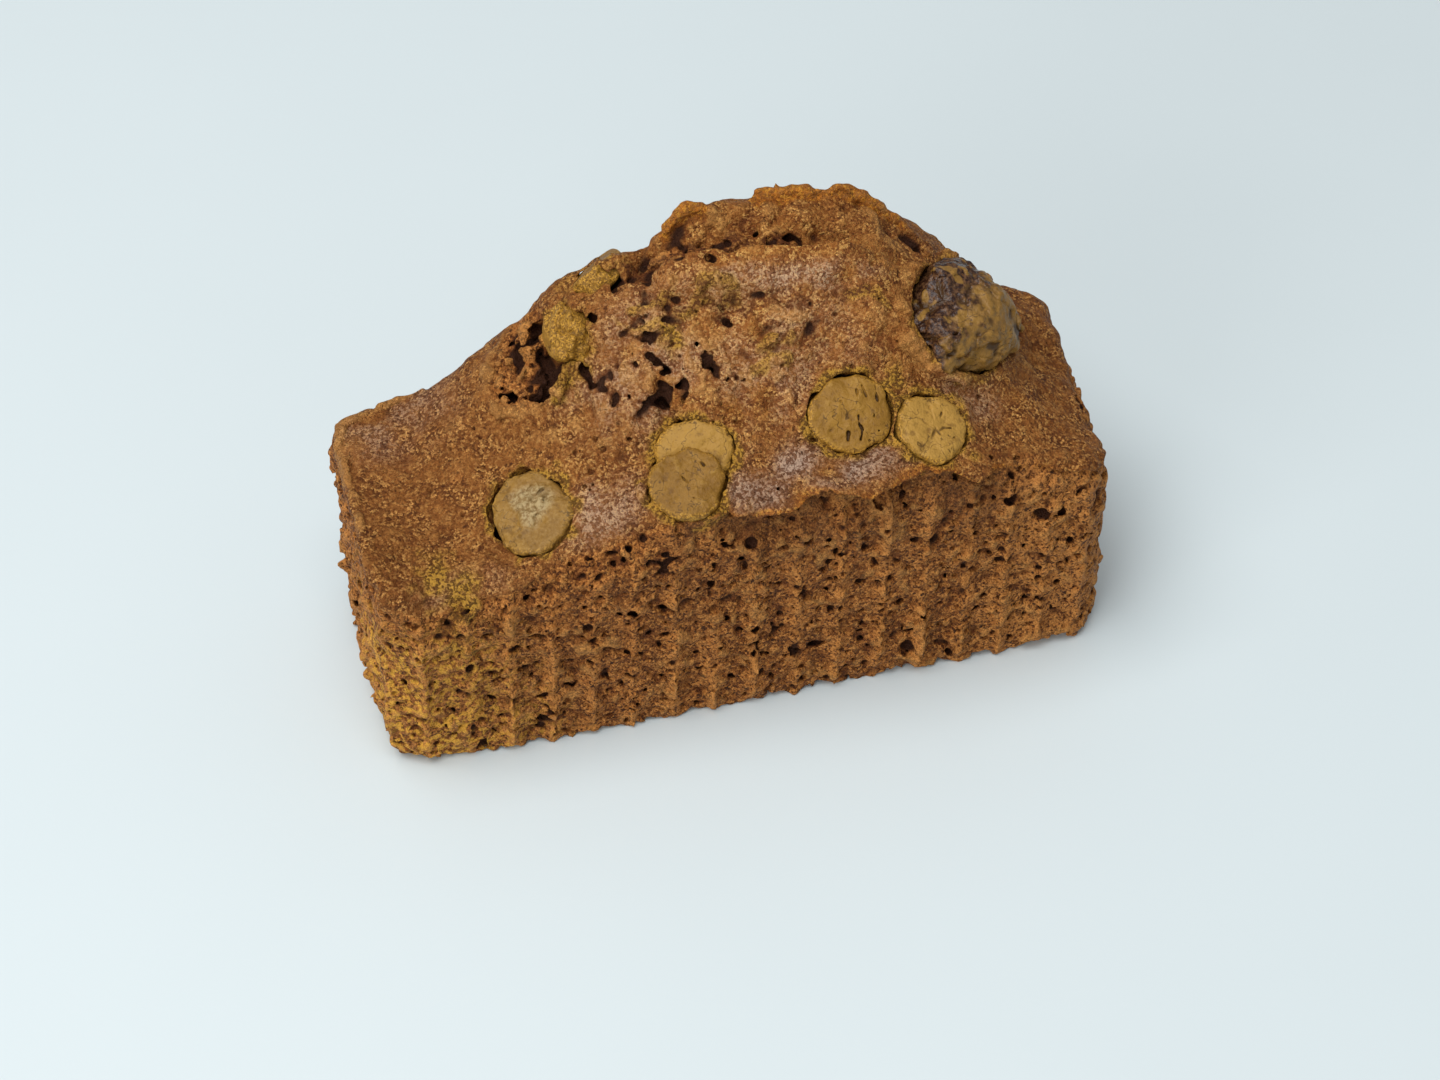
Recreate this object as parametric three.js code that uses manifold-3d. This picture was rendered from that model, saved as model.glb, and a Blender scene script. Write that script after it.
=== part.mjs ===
// A small chocolate loaf cake baked in a pleated paper liner, with the chocolate drops that sit in its crust.
// Millimetres, +Z up. X runs along the loaf, the front wall faces -Y, and the dome leans to the back at +Y.
import * as THREE from "three";
import { mergeVertices } from "three/addons/utils/BufferGeometryUtils.js";
import Module from "manifold-3d";

// ---- the loaf: plan of the liner ----
const HALF_LENGTH = 59.7;       // end wall to the middle
const HALF_WIDTH = 21.5;        // long wall to the middle
const FORWARD_SHIFT = 0.8;      // the walls stand this far forward of the dome's own middle
const CORNER_RADIUS = 6.0;      // upright corners of the liner
const WIDTH_TAPER = 0.01;       // how much narrower the base is than the rim
const LENGTH_TAPER = 0.008;     // how much shorter the base is than the rim
const PLEAT_PITCH = 6.9;        // liner pleats along the long walls
const PLEAT_DEPTH = 0.7;        // groove that a pleat leaves in the crumb
const FRONT_LIP = 1.0;          // crust hanging out over the front wall
const BACK_BULGE = 3.0;         // dome swelling out over the back wall
const EDGE_ROUND = 3.0;         // width of the rounding where the crust turns down into a wall
const EDGE_DROP = 2.2;          // how far the rounding falls at a long wall
const END_DROP_SHARE = 0.6;     // the same at an end wall, as a share of it
const BACK_DROP_GAIN = 4;       // how much steeper the dome rolls over the back wall
const BACK_RIM_SHARE = 0.45;    // height where the back wall ends, between rim and crown
const DOME_FULL_RISE = 22;      // rise from rim to crown at which the lip and the bulge are full

// ---- the loaf: heights along its length, [x, z] ----
const RIM = [
  [-60, 40], [-51, 37], [-40, 38], [-24, 42], [-10, 45], [10, 46.5], [28, 46.8], [37, 44.5], [48, 42], [60, 39],
];
const CROWN = [
  [-60, 40], [-49, 42], [-40, 46], [-30, 52.5], [-21, 59.5], [-11, 67], [-2, 72.5], [8, 75],
  [18, 75], [26, 72.5], [33, 66.5], [40, 58.5], [48, 50.5], [55, 43], [60, 39.5],
];
// share of the way from the rim up to the crown, across the width, [y, share]
const RISE = [
  [-24, -0.03], [-21, 0], [-14, 0.13], [-8, 0.3], [-2, 0.53], [4, 0.77],
  [10, 0.95], [14, 1], [17, 0.98], [21, 0.86], [26, 0.6],
];

// ---- chocolate: [x, y] is where each piece sits in the crust ----
const DROP_HEIGHT = 4.6;        // a baking drop, flat below and softly domed above
const SOCKET_GAP = 0.3;         // air left round each piece
const DROPS = [
  { name: "chocolate_drop_left", x: -32.9, y: -10.0, radius: 6.2, sink: 3.6 },
  { name: "chocolate_drop_front", x: -9.1, y: -15.6, radius: 6.2, sink: 3.0 },
  { name: "chocolate_drop_tucked", x: -5.2, y: -12.6, radius: 5.3, sink: 4.2, under: "chocolate_drop_front" },
  { name: "chocolate_drop_middle", x: 18.2, y: -11.5, radius: 6.7, sink: 3.6 },
  { name: "chocolate_drop_right", x: 30.5, y: -14.8, radius: 5.4, sink: 3.6 },
  { name: "chocolate_drop_crusted", x: -21.6, y: 10.6, radius: 4.8, sink: 2.2, lean: [0.6, 0] },
  { name: "chocolate_drop_shoulder", x: -15.4, y: 19.0, radius: 5.2, sink: 3.3, lean: [0.1, -0.3] },
];
const LUMP = { name: "chocolate_lump", x: 38.8, y: 1.6, size: [9.4, 8.8, 6.6], sink: 1.4 };

const CAKE_MATERIAL = { color: 0x6b3519, roughness: 0.85, metalness: 0.0 };
const DROP_MATERIAL = { color: 0x7b4a22, roughness: 0.5, metalness: 0.0 };
const LUMP_MATERIAL = { color: 0x4a2616, roughness: 0.4, metalness: 0.0 };

// ---- smooth curves through the stations above ----
function slopeAt(stations, index) {
  const before = stations[Math.max(index - 1, 0)];
  const after = stations[Math.min(index + 1, stations.length - 1)];
  return (after[1] - before[1]) / (after[0] - before[0]);
}

function curveAt(stations, position) {
  const last = stations.length - 1;
  const at = Math.min(Math.max(position, stations[0][0]), stations[last][0]);
  let index = 0;
  while (index < last - 1 && at > stations[index + 1][0]) index += 1;
  const [startX, startZ] = stations[index];
  const [endX, endZ] = stations[index + 1];
  const span = endX - startX;
  const t = (at - startX) / span;
  const startSlope = slopeAt(stations, index) * span;
  const endSlope = slopeAt(stations, index + 1) * span;
  const bend = startSlope + endSlope + 2 * (startZ - endZ);
  return startZ + t * (startSlope + t * (3 * (endZ - startZ) - 2 * startSlope - endSlope + t * bend));
}

const NORMAL_REACH = 1.5;       // the crust's slope is measured this far to each side of a point

// height of the crust over a point of the plan
function crustHeight(x, y) {
  const rim = curveAt(RIM, x);
  return rim + (curveAt(CROWN, x) - rim) * curveAt(RISE, y);
}

function crustNormal(x, y) {
  const step = NORMAL_REACH;
  const slopeX = (crustHeight(x + step, y) - crustHeight(x - step, y)) / (2 * step);
  const slopeY = (crustHeight(x, y + step) - crustHeight(x, y - step)) / (2 * step);
  return new THREE.Vector3(-slopeX, -slopeY, 1).normalize();
}

// ---- the loaf: one cross-section after another along X ----
const WALL_LEVELS = [0, 0.3, 0.6, 0.82];   // shares of the wall's height
const TOP_STEPS = 20;
const BASE_STEPS = 4;
const CORNER_TURNS = [20, 40, 65, 90];     // degrees round an upright corner, from the long wall
const STATIONS_PER_PLEAT = 3;

function halfWidthAt(x) {
  const intoCorner = Math.max(Math.abs(x) - (HALF_LENGTH - CORNER_RADIUS), 0);
  return HALF_WIDTH - CORNER_RADIUS + Math.sqrt(Math.max(CORNER_RADIUS ** 2 - intoCorner ** 2, 0));
}

function pleatAt(x) {
  return PLEAT_DEPTH * (0.5 - 0.5 * Math.cos((2 * Math.PI * x) / PLEAT_PITCH));
}

// how much of the lip and the back bulge there is at x: none at the ends, all of it under the dome
function domeShare(x) {
  return Math.min(Math.max((curveAt(CROWN, x) - curveAt(RIM, x)) / DOME_FULL_RISE, 0), 1);
}

function edgeDrop(distance) {
  const left = Math.max(1 - distance / EDGE_ROUND, 0);
  return EDGE_DROP * left * left;
}

function wallPoint(x, side, level, rim) {
  const inset = WIDTH_TAPER * (1 - level) * HALF_WIDTH + pleatAt(x) * (1 - level * level);
  const bulge = side > 0 ? BACK_BULGE * domeShare(x) * level ** 4 : FRONT_LIP * domeShare(x) * level ** 6;
  return [side * (halfWidthAt(x) - inset + bulge) - FORWARD_SHIFT, rim * level];
}

function sectionAt(x) {
  const rim = curveAt(RIM, x);
  const share = domeShare(x);
  const backRim = rim + (curveAt(CROWN, x) - rim) * BACK_RIM_SHARE;
  const front = -halfWidthAt(x) - FRONT_LIP * share - FORWARD_SHIFT;
  const back = halfWidthAt(x) + BACK_BULGE * share - FORWARD_SHIFT;
  const endDistance = HALF_LENGTH - Math.abs(x);
  const points = WALL_LEVELS.map((level) => wallPoint(x, -1, level, rim));
  for (let step = 0; step <= TOP_STEPS; step += 1) {
    const y = front + ((back - front) * step) / TOP_STEPS;
    const backDrop = edgeDrop(back - y) * (1 + BACK_DROP_GAIN * share);
    const drop = edgeDrop(y - front) + backDrop + END_DROP_SHARE * edgeDrop(endDistance);
    points.push([y, crustHeight(x, y) - drop]);
  }
  for (const level of [...WALL_LEVELS].reverse()) points.push(wallPoint(x, 1, level, backRim));
  const [baseBack] = points[points.length - 1];
  const [baseFront] = points[0];
  for (let step = 1; step < BASE_STEPS; step += 1) {
    points.push([baseBack + ((baseFront - baseBack) * step) / BASE_STEPS, 0]);
  }
  return points;
}

function stationsAlongX() {
  const straight = HALF_LENGTH - CORNER_RADIUS;
  const roundCorner = (turn) => straight + CORNER_RADIUS * Math.sin(THREE.MathUtils.degToRad(turn));
  const corner = CORNER_TURNS.map(roundCorner);
  const stations = corner.map((x) => -x).reverse();
  const count = Math.round((2 * straight) / (PLEAT_PITCH / STATIONS_PER_PLEAT));
  for (let step = 0; step <= count; step += 1) stations.push(-straight + (2 * straight * step) / count);
  return [...stations, ...corner];
}

function loafGeometry() {
  const taperedX = (x, z) => x * (1 - LENGTH_TAPER * Math.max(1 - z / RIM[0][1], 0));
  const sections = stationsAlongX().map((x) => sectionAt(x).map(([y, z]) => [taperedX(x, z), y, z]));
  const count = sections[0].length;
  const vertices = sections.flat();
  const faces = [];
  for (let row = 0; row + 1 < sections.length; row += 1) {
    for (let index = 0; index < count; index += 1) {
      const next = (index + 1) % count;
      const a = row * count + index;
      const b = row * count + next;
      const c = a + count;
      const d = b + count;
      faces.push([a, d, b], [a, c, d]);
    }
  }
  // the two end walls close with a fan round a middle point
  for (const [row, outward] of [[0, -1], [sections.length - 1, 1]]) {
    const middle = vertices.length;
    const ring = sections[row];
    const height = ring.reduce((sum, point) => sum + point[2], 0) / count;
    vertices.push([ring[0][0], 0, height]);
    for (let index = 0; index < count; index += 1) {
      const a = row * count + index;
      const b = row * count + ((index + 1) % count);
      faces.push(outward > 0 ? [middle, b, a] : [middle, a, b]);
    }
  }
  const geometry = new THREE.BufferGeometry();
  geometry.setAttribute("position", new THREE.Float32BufferAttribute(vertices.flat(), 3));
  geometry.setIndex(faces.flat());
  return geometry;
}

// ---- chocolate shapes, each round its own Z and centred on its own middle ----
// half of a drop's section as [share of the radius, share of the half height]: flat base, full side, soft dome
const DROP_PROFILE = [
  [0, -1], [0.72, -1], [0.92, -0.72], [1, -0.2], [0.98, 0.3], [0.88, 0.68], [0.58, 0.93], [0, 1],
];

const SIDES_ROUND = 20;         // flat facets round a drop or the lump
const LUMP_LEVELS = 12;         // bands of facets from the lump's bottom to its top

function dropGeometry(radius, height) {
  const profile = DROP_PROFILE.map(([out, up]) => new THREE.Vector2(radius * out, (height / 2) * up));
  return new THREE.LatheGeometry(profile, SIDES_ROUND).rotateX(Math.PI / 2);
}

function lumpGeometry([radiusX, radiusY, radiusZ]) {
  return new THREE.SphereGeometry(1, SIDES_ROUND, LUMP_LEVELS).scale(radiusX, radiusY, radiusZ);
}

// ---- joining and cutting ----
const wasm = await Module();
wasm.setup();

function toSolid(geometry) {
  const bare = geometry.clone();
  bare.deleteAttribute("normal");
  bare.deleteAttribute("uv");
  const merged = mergeVertices(bare, 1e-4);
  return new wasm.Manifold(new wasm.Mesh({
    numProp: 3,
    vertProperties: new Float32Array(merged.attributes.position.array),
    triVerts: new Uint32Array(merged.index.array),
  }));
}

function toGeometry(solid) {
  const mesh = solid.getMesh();
  const geometry = new THREE.BufferGeometry();
  geometry.setAttribute("position", new THREE.BufferAttribute(new Float32Array(mesh.vertProperties), 3));
  geometry.setIndex(new THREE.BufferAttribute(new Uint32Array(mesh.triVerts), 1));
  return geometry;
}

function subtract(geometry, cutter) {
  return toGeometry(toSolid(geometry).subtract(toSolid(cutter)));
}

// ---- assembly ----
function pieceMesh(name, geometry, material) {
  const mesh = new THREE.Mesh(geometry, new THREE.MeshStandardMaterial(material));
  mesh.name = name;
  return mesh;
}

// sets a piece on the crust at (x, y), facing out along the crust's normal and sunk below it
function seat(mesh, { x, y, sink, lean = [0, 0] }) {
  const normal = crustNormal(x, y);
  const facing = new THREE.Vector3(normal.x - lean[0], normal.y - lean[1], normal.z).normalize();
  mesh.quaternion.setFromUnitVectors(new THREE.Vector3(0, 0, 1), facing);
  mesh.position.set(x, y, crustHeight(x, y)).addScaledVector(facing, DROP_HEIGHT / 2 - sink);
  mesh.updateMatrix();
  return mesh;
}

function placedCopy(geometry, matrix) {
  return geometry.clone().applyMatrix4(matrix);
}

const group = new THREE.Group();
const cutters = new Map();

for (const drop of DROPS) {
  const mesh = seat(pieceMesh(drop.name, dropGeometry(drop.radius, DROP_HEIGHT), DROP_MATERIAL), drop);
  const roomy = dropGeometry(drop.radius + SOCKET_GAP, DROP_HEIGHT + 2 * SOCKET_GAP);
  cutters.set(drop.name, placedCopy(roomy, mesh.matrix));
  if (drop.under) {
    const inverse = mesh.matrix.clone().invert();
    mesh.geometry = subtract(mesh.geometry, placedCopy(cutters.get(drop.under), inverse));
  }
  group.add(mesh);
}

const lump = seat(pieceMesh(LUMP.name, lumpGeometry(LUMP.size), LUMP_MATERIAL), LUMP);
cutters.set(LUMP.name, placedCopy(lumpGeometry(LUMP.size.map((radius) => radius + SOCKET_GAP)), lump.matrix));
group.add(lump);

let loaf = loafGeometry();
for (const cutter of cutters.values()) loaf = subtract(loaf, cutter);
group.add(pieceMesh("cake_loaf", loaf, CAKE_MATERIAL));

// the origin is the middle of the bottom of the whole box
const box = new THREE.Box3().setFromObject(group);
const centre = box.getCenter(new THREE.Vector3());
group.position.set(-centre.x, -centre.y, -box.min.z);

export default group;
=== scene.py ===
"""Chocolate loaf cake: the visible surfaces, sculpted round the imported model.

The loaf and each piece of chocolate is sculpted as a field of numbers on a block of points: the solid
is where the field is below zero. Walls, crust, pores, cracks and sockets are joined or cut there, and
the surface is then drawn off as one mesh. Sizes are in millimetres until a mesh is made, and in metres
from there on.
"""

import math

import bpy
import numpy as np
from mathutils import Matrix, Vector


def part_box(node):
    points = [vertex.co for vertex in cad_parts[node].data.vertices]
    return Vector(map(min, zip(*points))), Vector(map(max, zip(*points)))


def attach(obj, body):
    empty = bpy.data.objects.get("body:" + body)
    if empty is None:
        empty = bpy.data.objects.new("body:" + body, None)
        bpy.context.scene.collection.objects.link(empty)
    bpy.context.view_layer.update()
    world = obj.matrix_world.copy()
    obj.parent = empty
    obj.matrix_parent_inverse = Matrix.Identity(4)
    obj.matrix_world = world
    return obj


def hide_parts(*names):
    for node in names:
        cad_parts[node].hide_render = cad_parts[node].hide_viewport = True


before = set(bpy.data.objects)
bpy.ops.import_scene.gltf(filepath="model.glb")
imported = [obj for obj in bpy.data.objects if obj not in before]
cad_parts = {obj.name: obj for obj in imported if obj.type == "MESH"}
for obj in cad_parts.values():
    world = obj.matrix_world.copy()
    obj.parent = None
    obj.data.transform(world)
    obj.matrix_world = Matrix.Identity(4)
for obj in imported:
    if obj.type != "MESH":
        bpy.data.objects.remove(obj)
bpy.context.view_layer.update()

import openvdb
from bpy.props import FloatProperty, FloatVectorProperty, IntProperty, PointerProperty
from bpy.types import Operator, Panel, PropertyGroup
from mathutils import Vector

bl_info = {
    "name": "Chocolate loaf cake",
    "version": (1, 0, 0),
    "blender": (4, 5, 0),
    "location": "3D View > Sidebar > Loaf cake",
    "description": "Sculpts a small baked chocolate loaf with chocolate drops in its crust",
    "category": "Add Mesh",
}

MM = 0.001
BODY = "root"


# ---- The loaf's own measures ----
# In millimetres. The datum is the middle of the loaf's length, the dome's own middle line and the base.
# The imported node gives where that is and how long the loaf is.
LOAF_NODE = "cake_loaf"
LUMP_NODE = "chocolate_lump"
DROP_NODES = [
    "chocolate_drop_left",
    "chocolate_drop_front",
    "chocolate_drop_tucked",
    "chocolate_drop_middle",
    "chocolate_drop_right",
    "chocolate_drop_crusted",
    "chocolate_drop_shoulder",
]
LEFT, FRONT, TUCKED, MIDDLE, RIGHT, CRUSTED, SHOULDER = DROP_NODES
CHOCOLATE_NODES = DROP_NODES + [LUMP_NODE]

FRONT_REACH = 23.3          # from the dome's middle line out to the front of the crust
HALF_WIDTH = 21.5
FORWARD_SHIFT = 0.8         # the walls stand this far forward of the dome's middle line
CORNER_RADIUS = 6.5
BASE_INSET = 0.7            # how much each wall draws in from its full width down to the base
INSET_HEIGHT = 36.0         # the height at which the walls reach their full width

LOAF_LOW, LOAF_HIGH = (np.array(corner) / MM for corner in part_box(LOAF_NODE))
HALF_LENGTH = (LOAF_HIGH[0] - LOAF_LOW[0]) / 2
DATUM = np.array([(LOAF_LOW[0] + LOAF_HIGH[0]) / 2, LOAF_LOW[1] + FRONT_REACH, LOAF_LOW[2]])

# heights of the front rim and of the crown along the loaf, (x, z)
RIM = [
    (-60, 40), (-51, 37), (-40, 38), (-24, 42), (-10, 45), (10, 46.5), (28, 46.8), (37, 44.5), (48, 42),
    (60, 39),
]
CROWN = [
    (-60, 40), (-49, 42), (-40, 46), (-30, 52.5), (-21, 59.5), (-11, 67), (-2, 72.5), (8, 75),
    (18, 75), (26, 72.5), (33, 66.5), (40, 58.5), (48, 50.5), (55, 43), (60, 39.5),
]
# share of the way from the rim up to the crown across the loaf, (y, share)
RISE = [
    (-24, -0.03), (-21, 0), (-14, 0.13), (-8, 0.3), (-2, 0.53), (4, 0.77),
    (10, 0.95), (14, 1), (17, 0.98), (21, 0.86), (26, 0.6),
]
DOME_FULL_RISE = 22.0       # rise at which the bulge over the back wall is full
# how far the crust hangs out over the front wall, (x, reach)
LIP = [(-60, 0.0), (-30, 0.1), (-16, 0.6), (-6, 1.8), (6, 2.2), (26, 2.1), (34, 1.4), (44, 0.8), (60, 0.4)]
# the lower edge of that crust along the front wall, (x, z)
LIP_EDGE = [
    (-60, 36.6), (-51, 34.6), (-44, 35.2), (-38, 36.0), (-28, 39.6), (-18, 42.6), (-10.4, 45.2), (-5.6, 45.8),
    (-2.9, 44.6), (0.8, 44.4), (5.5, 44.6), (9.5, 46.2), (15, 45.6), (20, 45.4), (25, 46.5), (31, 45.8),
    (35.5, 42.8), (41, 43.2), (48, 41.2), (60, 37.6),
]
# the front edge of the roll of crust under the crown, (x, y)
ROLL_EDGE = [
    (-10, 6.0), (-5.4, 5.5), (-1.5, 4.9), (1.6, 3.7), (8, 2.6), (14, 1.5), (18, 2.1), (22.9, 1.7), (28, 1.0),
]
# the front edge of the torn step down behind the roll, (x, y)
STEP_EDGE = [
    (-13, 11.8), (-8.4, 11.0), (-4, 10.4), (0.6, 10.2), (7.2, 8.9), (14.5, 7.2), (22.5, 6.4), (27, 6.2),
]
# the roll and the step: edge, lift, then the x and the distances behind the edge where each begins,
# is full, begins to fade and ends
SHELVES = [
    (ROLL_EDGE, 2.0, (-10.0, -5.0, 22.0, 28.0), (-0.5, 1.0, 4.0, 8.0)),
    (STEP_EDGE, -2.1, (-13.0, -9.0, 23.0, 28.0), (-0.3, 0.8, 1.6, 6.0)),
]
# swellings and hollows of the crust: middle (x, y), reach (x, y), lift
BUMPS = [
    (-10.0, -4.5, 4.5, 4.0, -0.9),
    (26.0, 1.0, 4.0, 6.0, 1.0),
    (50.5, 1.5, 5.0, 6.0, -1.4),
    (31.5, -6.5, 3.0, 3.0, -1.2),
    (-45.0, 2.0, 9.0, 9.0, -0.5),
    (-23.0, -11.0, 4.5, 4.5, 0.6),
    (4.0, -15.5, 8.0, 4.0, 0.5),
    (-3.0, 13.6, 8.0, 2.4, -0.6),
    (1.5, 17.5, 5.5, 3.5, 1.9),
    (-23.0, 19.0, 4.0, 3.0, 1.6),
    (17.0, 15.0, 15.0, 6.0, -1.5),
    (11.5, 12.6, 7.0, 1.8, -0.7),
    (-13.5, 17.5, 5.0, 4.0, 1.0),
    (15.0, -3.0, 8.0, 2.5, 0.7),
    (2.0, -4.5, 4.0, 3.0, -0.6),
    (-16.0, -3.0, 3.5, 5.0, 0.6),
    (36.0, -10.0, 4.0, 4.0, 0.5),
    (57.0, 15.0, 3.5, 4.5, 0.9),
]
# width of the rounding where crust turns down into the front wall, (x, width)
EDGE_WIDTH = [(-60, 5.0), (-34, 9.0), (-20, 6.5), (-8, 3.0), (26, 3.0), (40, 5.0), (60, 5.0)]
# distances from the dome's middle line over which the shapes of the front and of the back set in
FRONT_BAND = (8.0, 16.0)
BACK_BAND = (4.0, 14.0)
LIP_HOLLOW = 9.0            # how far the hollow under the lip reaches down the wall
PLEATS_FADE = (42.0, 56.0)  # stretch along the loaf over which the pleats weaken towards the right end
PLEATS_LOW = (4.0, 30.0)    # heights: the pleats are strongest below the first, weakest above the second
WORN_CORNER = (62.0, 78.0)  # stretch over which the front left corner of the base is worn round
BACK_BULGE = 3.0            # how far the dome swells out over the back wall
BULGE_LEVELS = (40.0, 50.0)     # heights between which that swelling sets in

# the block that the loaf is sculpted in: room round it, below the base, and the height of its top
ROOM_ROUND = 3.0
ROOM_BELOW = 0.9
BLOCK_TOP = 79.0


# ---- Curves and blends ----
def curve_at(stations, position):
    """The smooth curve through (position, value) stations, flat beyond its ends."""
    places, values = np.array(stations, float).T
    slopes = np.empty(len(places))
    slopes[1:-1] = (values[2:] - values[:-2]) / (places[2:] - places[:-2])
    slopes[0] = (values[1] - values[0]) / (places[1] - places[0])
    slopes[-1] = (values[-1] - values[-2]) / (places[-1] - places[-2])
    at = np.clip(position, places[0], places[-1])
    left = np.clip(np.searchsorted(places, at, side="right") - 1, 0, len(places) - 2)
    span = places[left + 1] - places[left]
    t = (at - places[left]) / span
    rise = values[left + 1] - values[left]
    start = slopes[left] * span
    end = slopes[left + 1] * span
    return values[left] + t * (start + t * (3 * rise - 2 * start - end + t * (start + end - 2 * rise)))


def ramp(value, low, high):
    """0 below low, 1 above high, and a soft step between."""
    t = np.clip((value - low) / (high - low), 0.0, 1.0)
    return t * t * (3.0 - 2.0 * t)


def band(value, low, full, fading, high):
    """0 outside low and high, 1 between full and fading, and soft steps between."""
    return ramp(value, low, full) * (1 - ramp(value, fading, high))


def soft_max(a, b, width):
    """The larger of two fields, rounded where they meet: cuts one solid by the other."""
    t = np.clip(0.5 + 0.5 * (a - b) / width, 0.0, 1.0)
    return b + (a - b) * t + width * t * (1.0 - t)


def soft_min(a, b, width):
    """The smaller of two fields, rounded where they meet: joins two solids."""
    return -soft_max(-a, -b, width)


def crust_height(x, y):
    """Height of the smooth crust over the base."""
    rim = curve_at(RIM, x)
    height = rim + (curve_at(CROWN, x) - rim) * curve_at(RISE, y)
    for edge, lift, along, behind in SHELVES:
        height = height + lift * band(x, *along) * band(y - curve_at(edge, x), *behind)
    for middle_x, middle_y, reach_x, reach_y, lift in BUMPS:
        height = height + lift * np.exp(-(((x - middle_x) / reach_x) ** 2) - ((y - middle_y) / reach_y) ** 2)
    return height


def spread(patches, x, y):
    """The strongest of some soft round patches, each (x, y, reach x, reach y, strength)."""
    strongest = np.zeros(np.broadcast(x, y).shape)
    for middle_x, middle_y, reach_x, reach_y, strength in patches:
        out = ((x - middle_x) / reach_x) ** 2 + ((y - middle_y) / reach_y) ** 2
        strongest = np.maximum(strongest, strength * np.exp(-(out**1.5)))
    return strongest


def path_gap(path, x, y):
    """Distance, seen from above, from a line of points."""
    gap = np.full(np.shape(x), np.inf)
    for start, end in zip(path[:-1], path[1:]):
        along_x, along_y = end[0] - start[0], end[1] - start[1]
        share = ((x - start[0]) * along_x + (y - start[1]) * along_y) / (along_x**2 + along_y**2)
        share = np.clip(share, 0.0, 1.0)
        gap = np.minimum(gap, np.hypot(x - start[0] - share * along_x, y - start[1] - share * along_y))
    return gap


def dome_share(x):
    """How much of the dome stands over a place along the loaf, from 0 to 1."""
    return np.clip((curve_at(CROWN, x) - curve_at(RIM, x)) / DOME_FULL_RISE, 0.0, 1.0)


def on_crust(x, y, lift=0.0):
    """A point on the smooth crust, or lifted off it."""
    return np.array([x, y, float(crust_height(x, y)) + lift])


def trace(path, lift=0.0, shift=0.0):
    """Points on the crust over a path of (x, y, ...) places, lifted and shifted backwards."""
    return [on_crust(place[0], place[1] + shift, lift) for place in path]


def widths(path, factor=1.0):
    """The radii along a path, which are the last number of each of its places."""
    return [factor * place[-1] for place in path]


def crust_normal(x, y, step=1.0):
    """The direction straight out of the smooth crust."""
    slope_x = (crust_height(x + step, y) - crust_height(x - step, y)) / (2 * step)
    slope_y = (crust_height(x, y + step) - crust_height(x, y - step)) / (2 * step)
    normal = np.array([-float(slope_x), -float(slope_y), 1.0])
    return normal / np.linalg.norm(normal)


# ---- The block of points that a solid is sculpted in ----
def spline_weights(places, spacing):
    """Weights that spread values standing at even spacing smoothly over the given places."""
    at = (places - places[0]) / spacing
    left = np.floor(at).astype(int)
    t = at - left
    weights = np.zeros((len(places), left[-1] + 4), np.float32)
    rows = np.arange(len(places))
    weights[rows, left] = (1 - t) ** 3 / 6
    weights[rows, left + 1] = (3 * t**3 - 6 * t**2 + 4) / 6
    weights[rows, left + 2] = (-3 * t**3 + 3 * t**2 + 3 * t + 1) / 6
    weights[rows, left + 3] = t**3 / 6
    return weights


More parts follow.
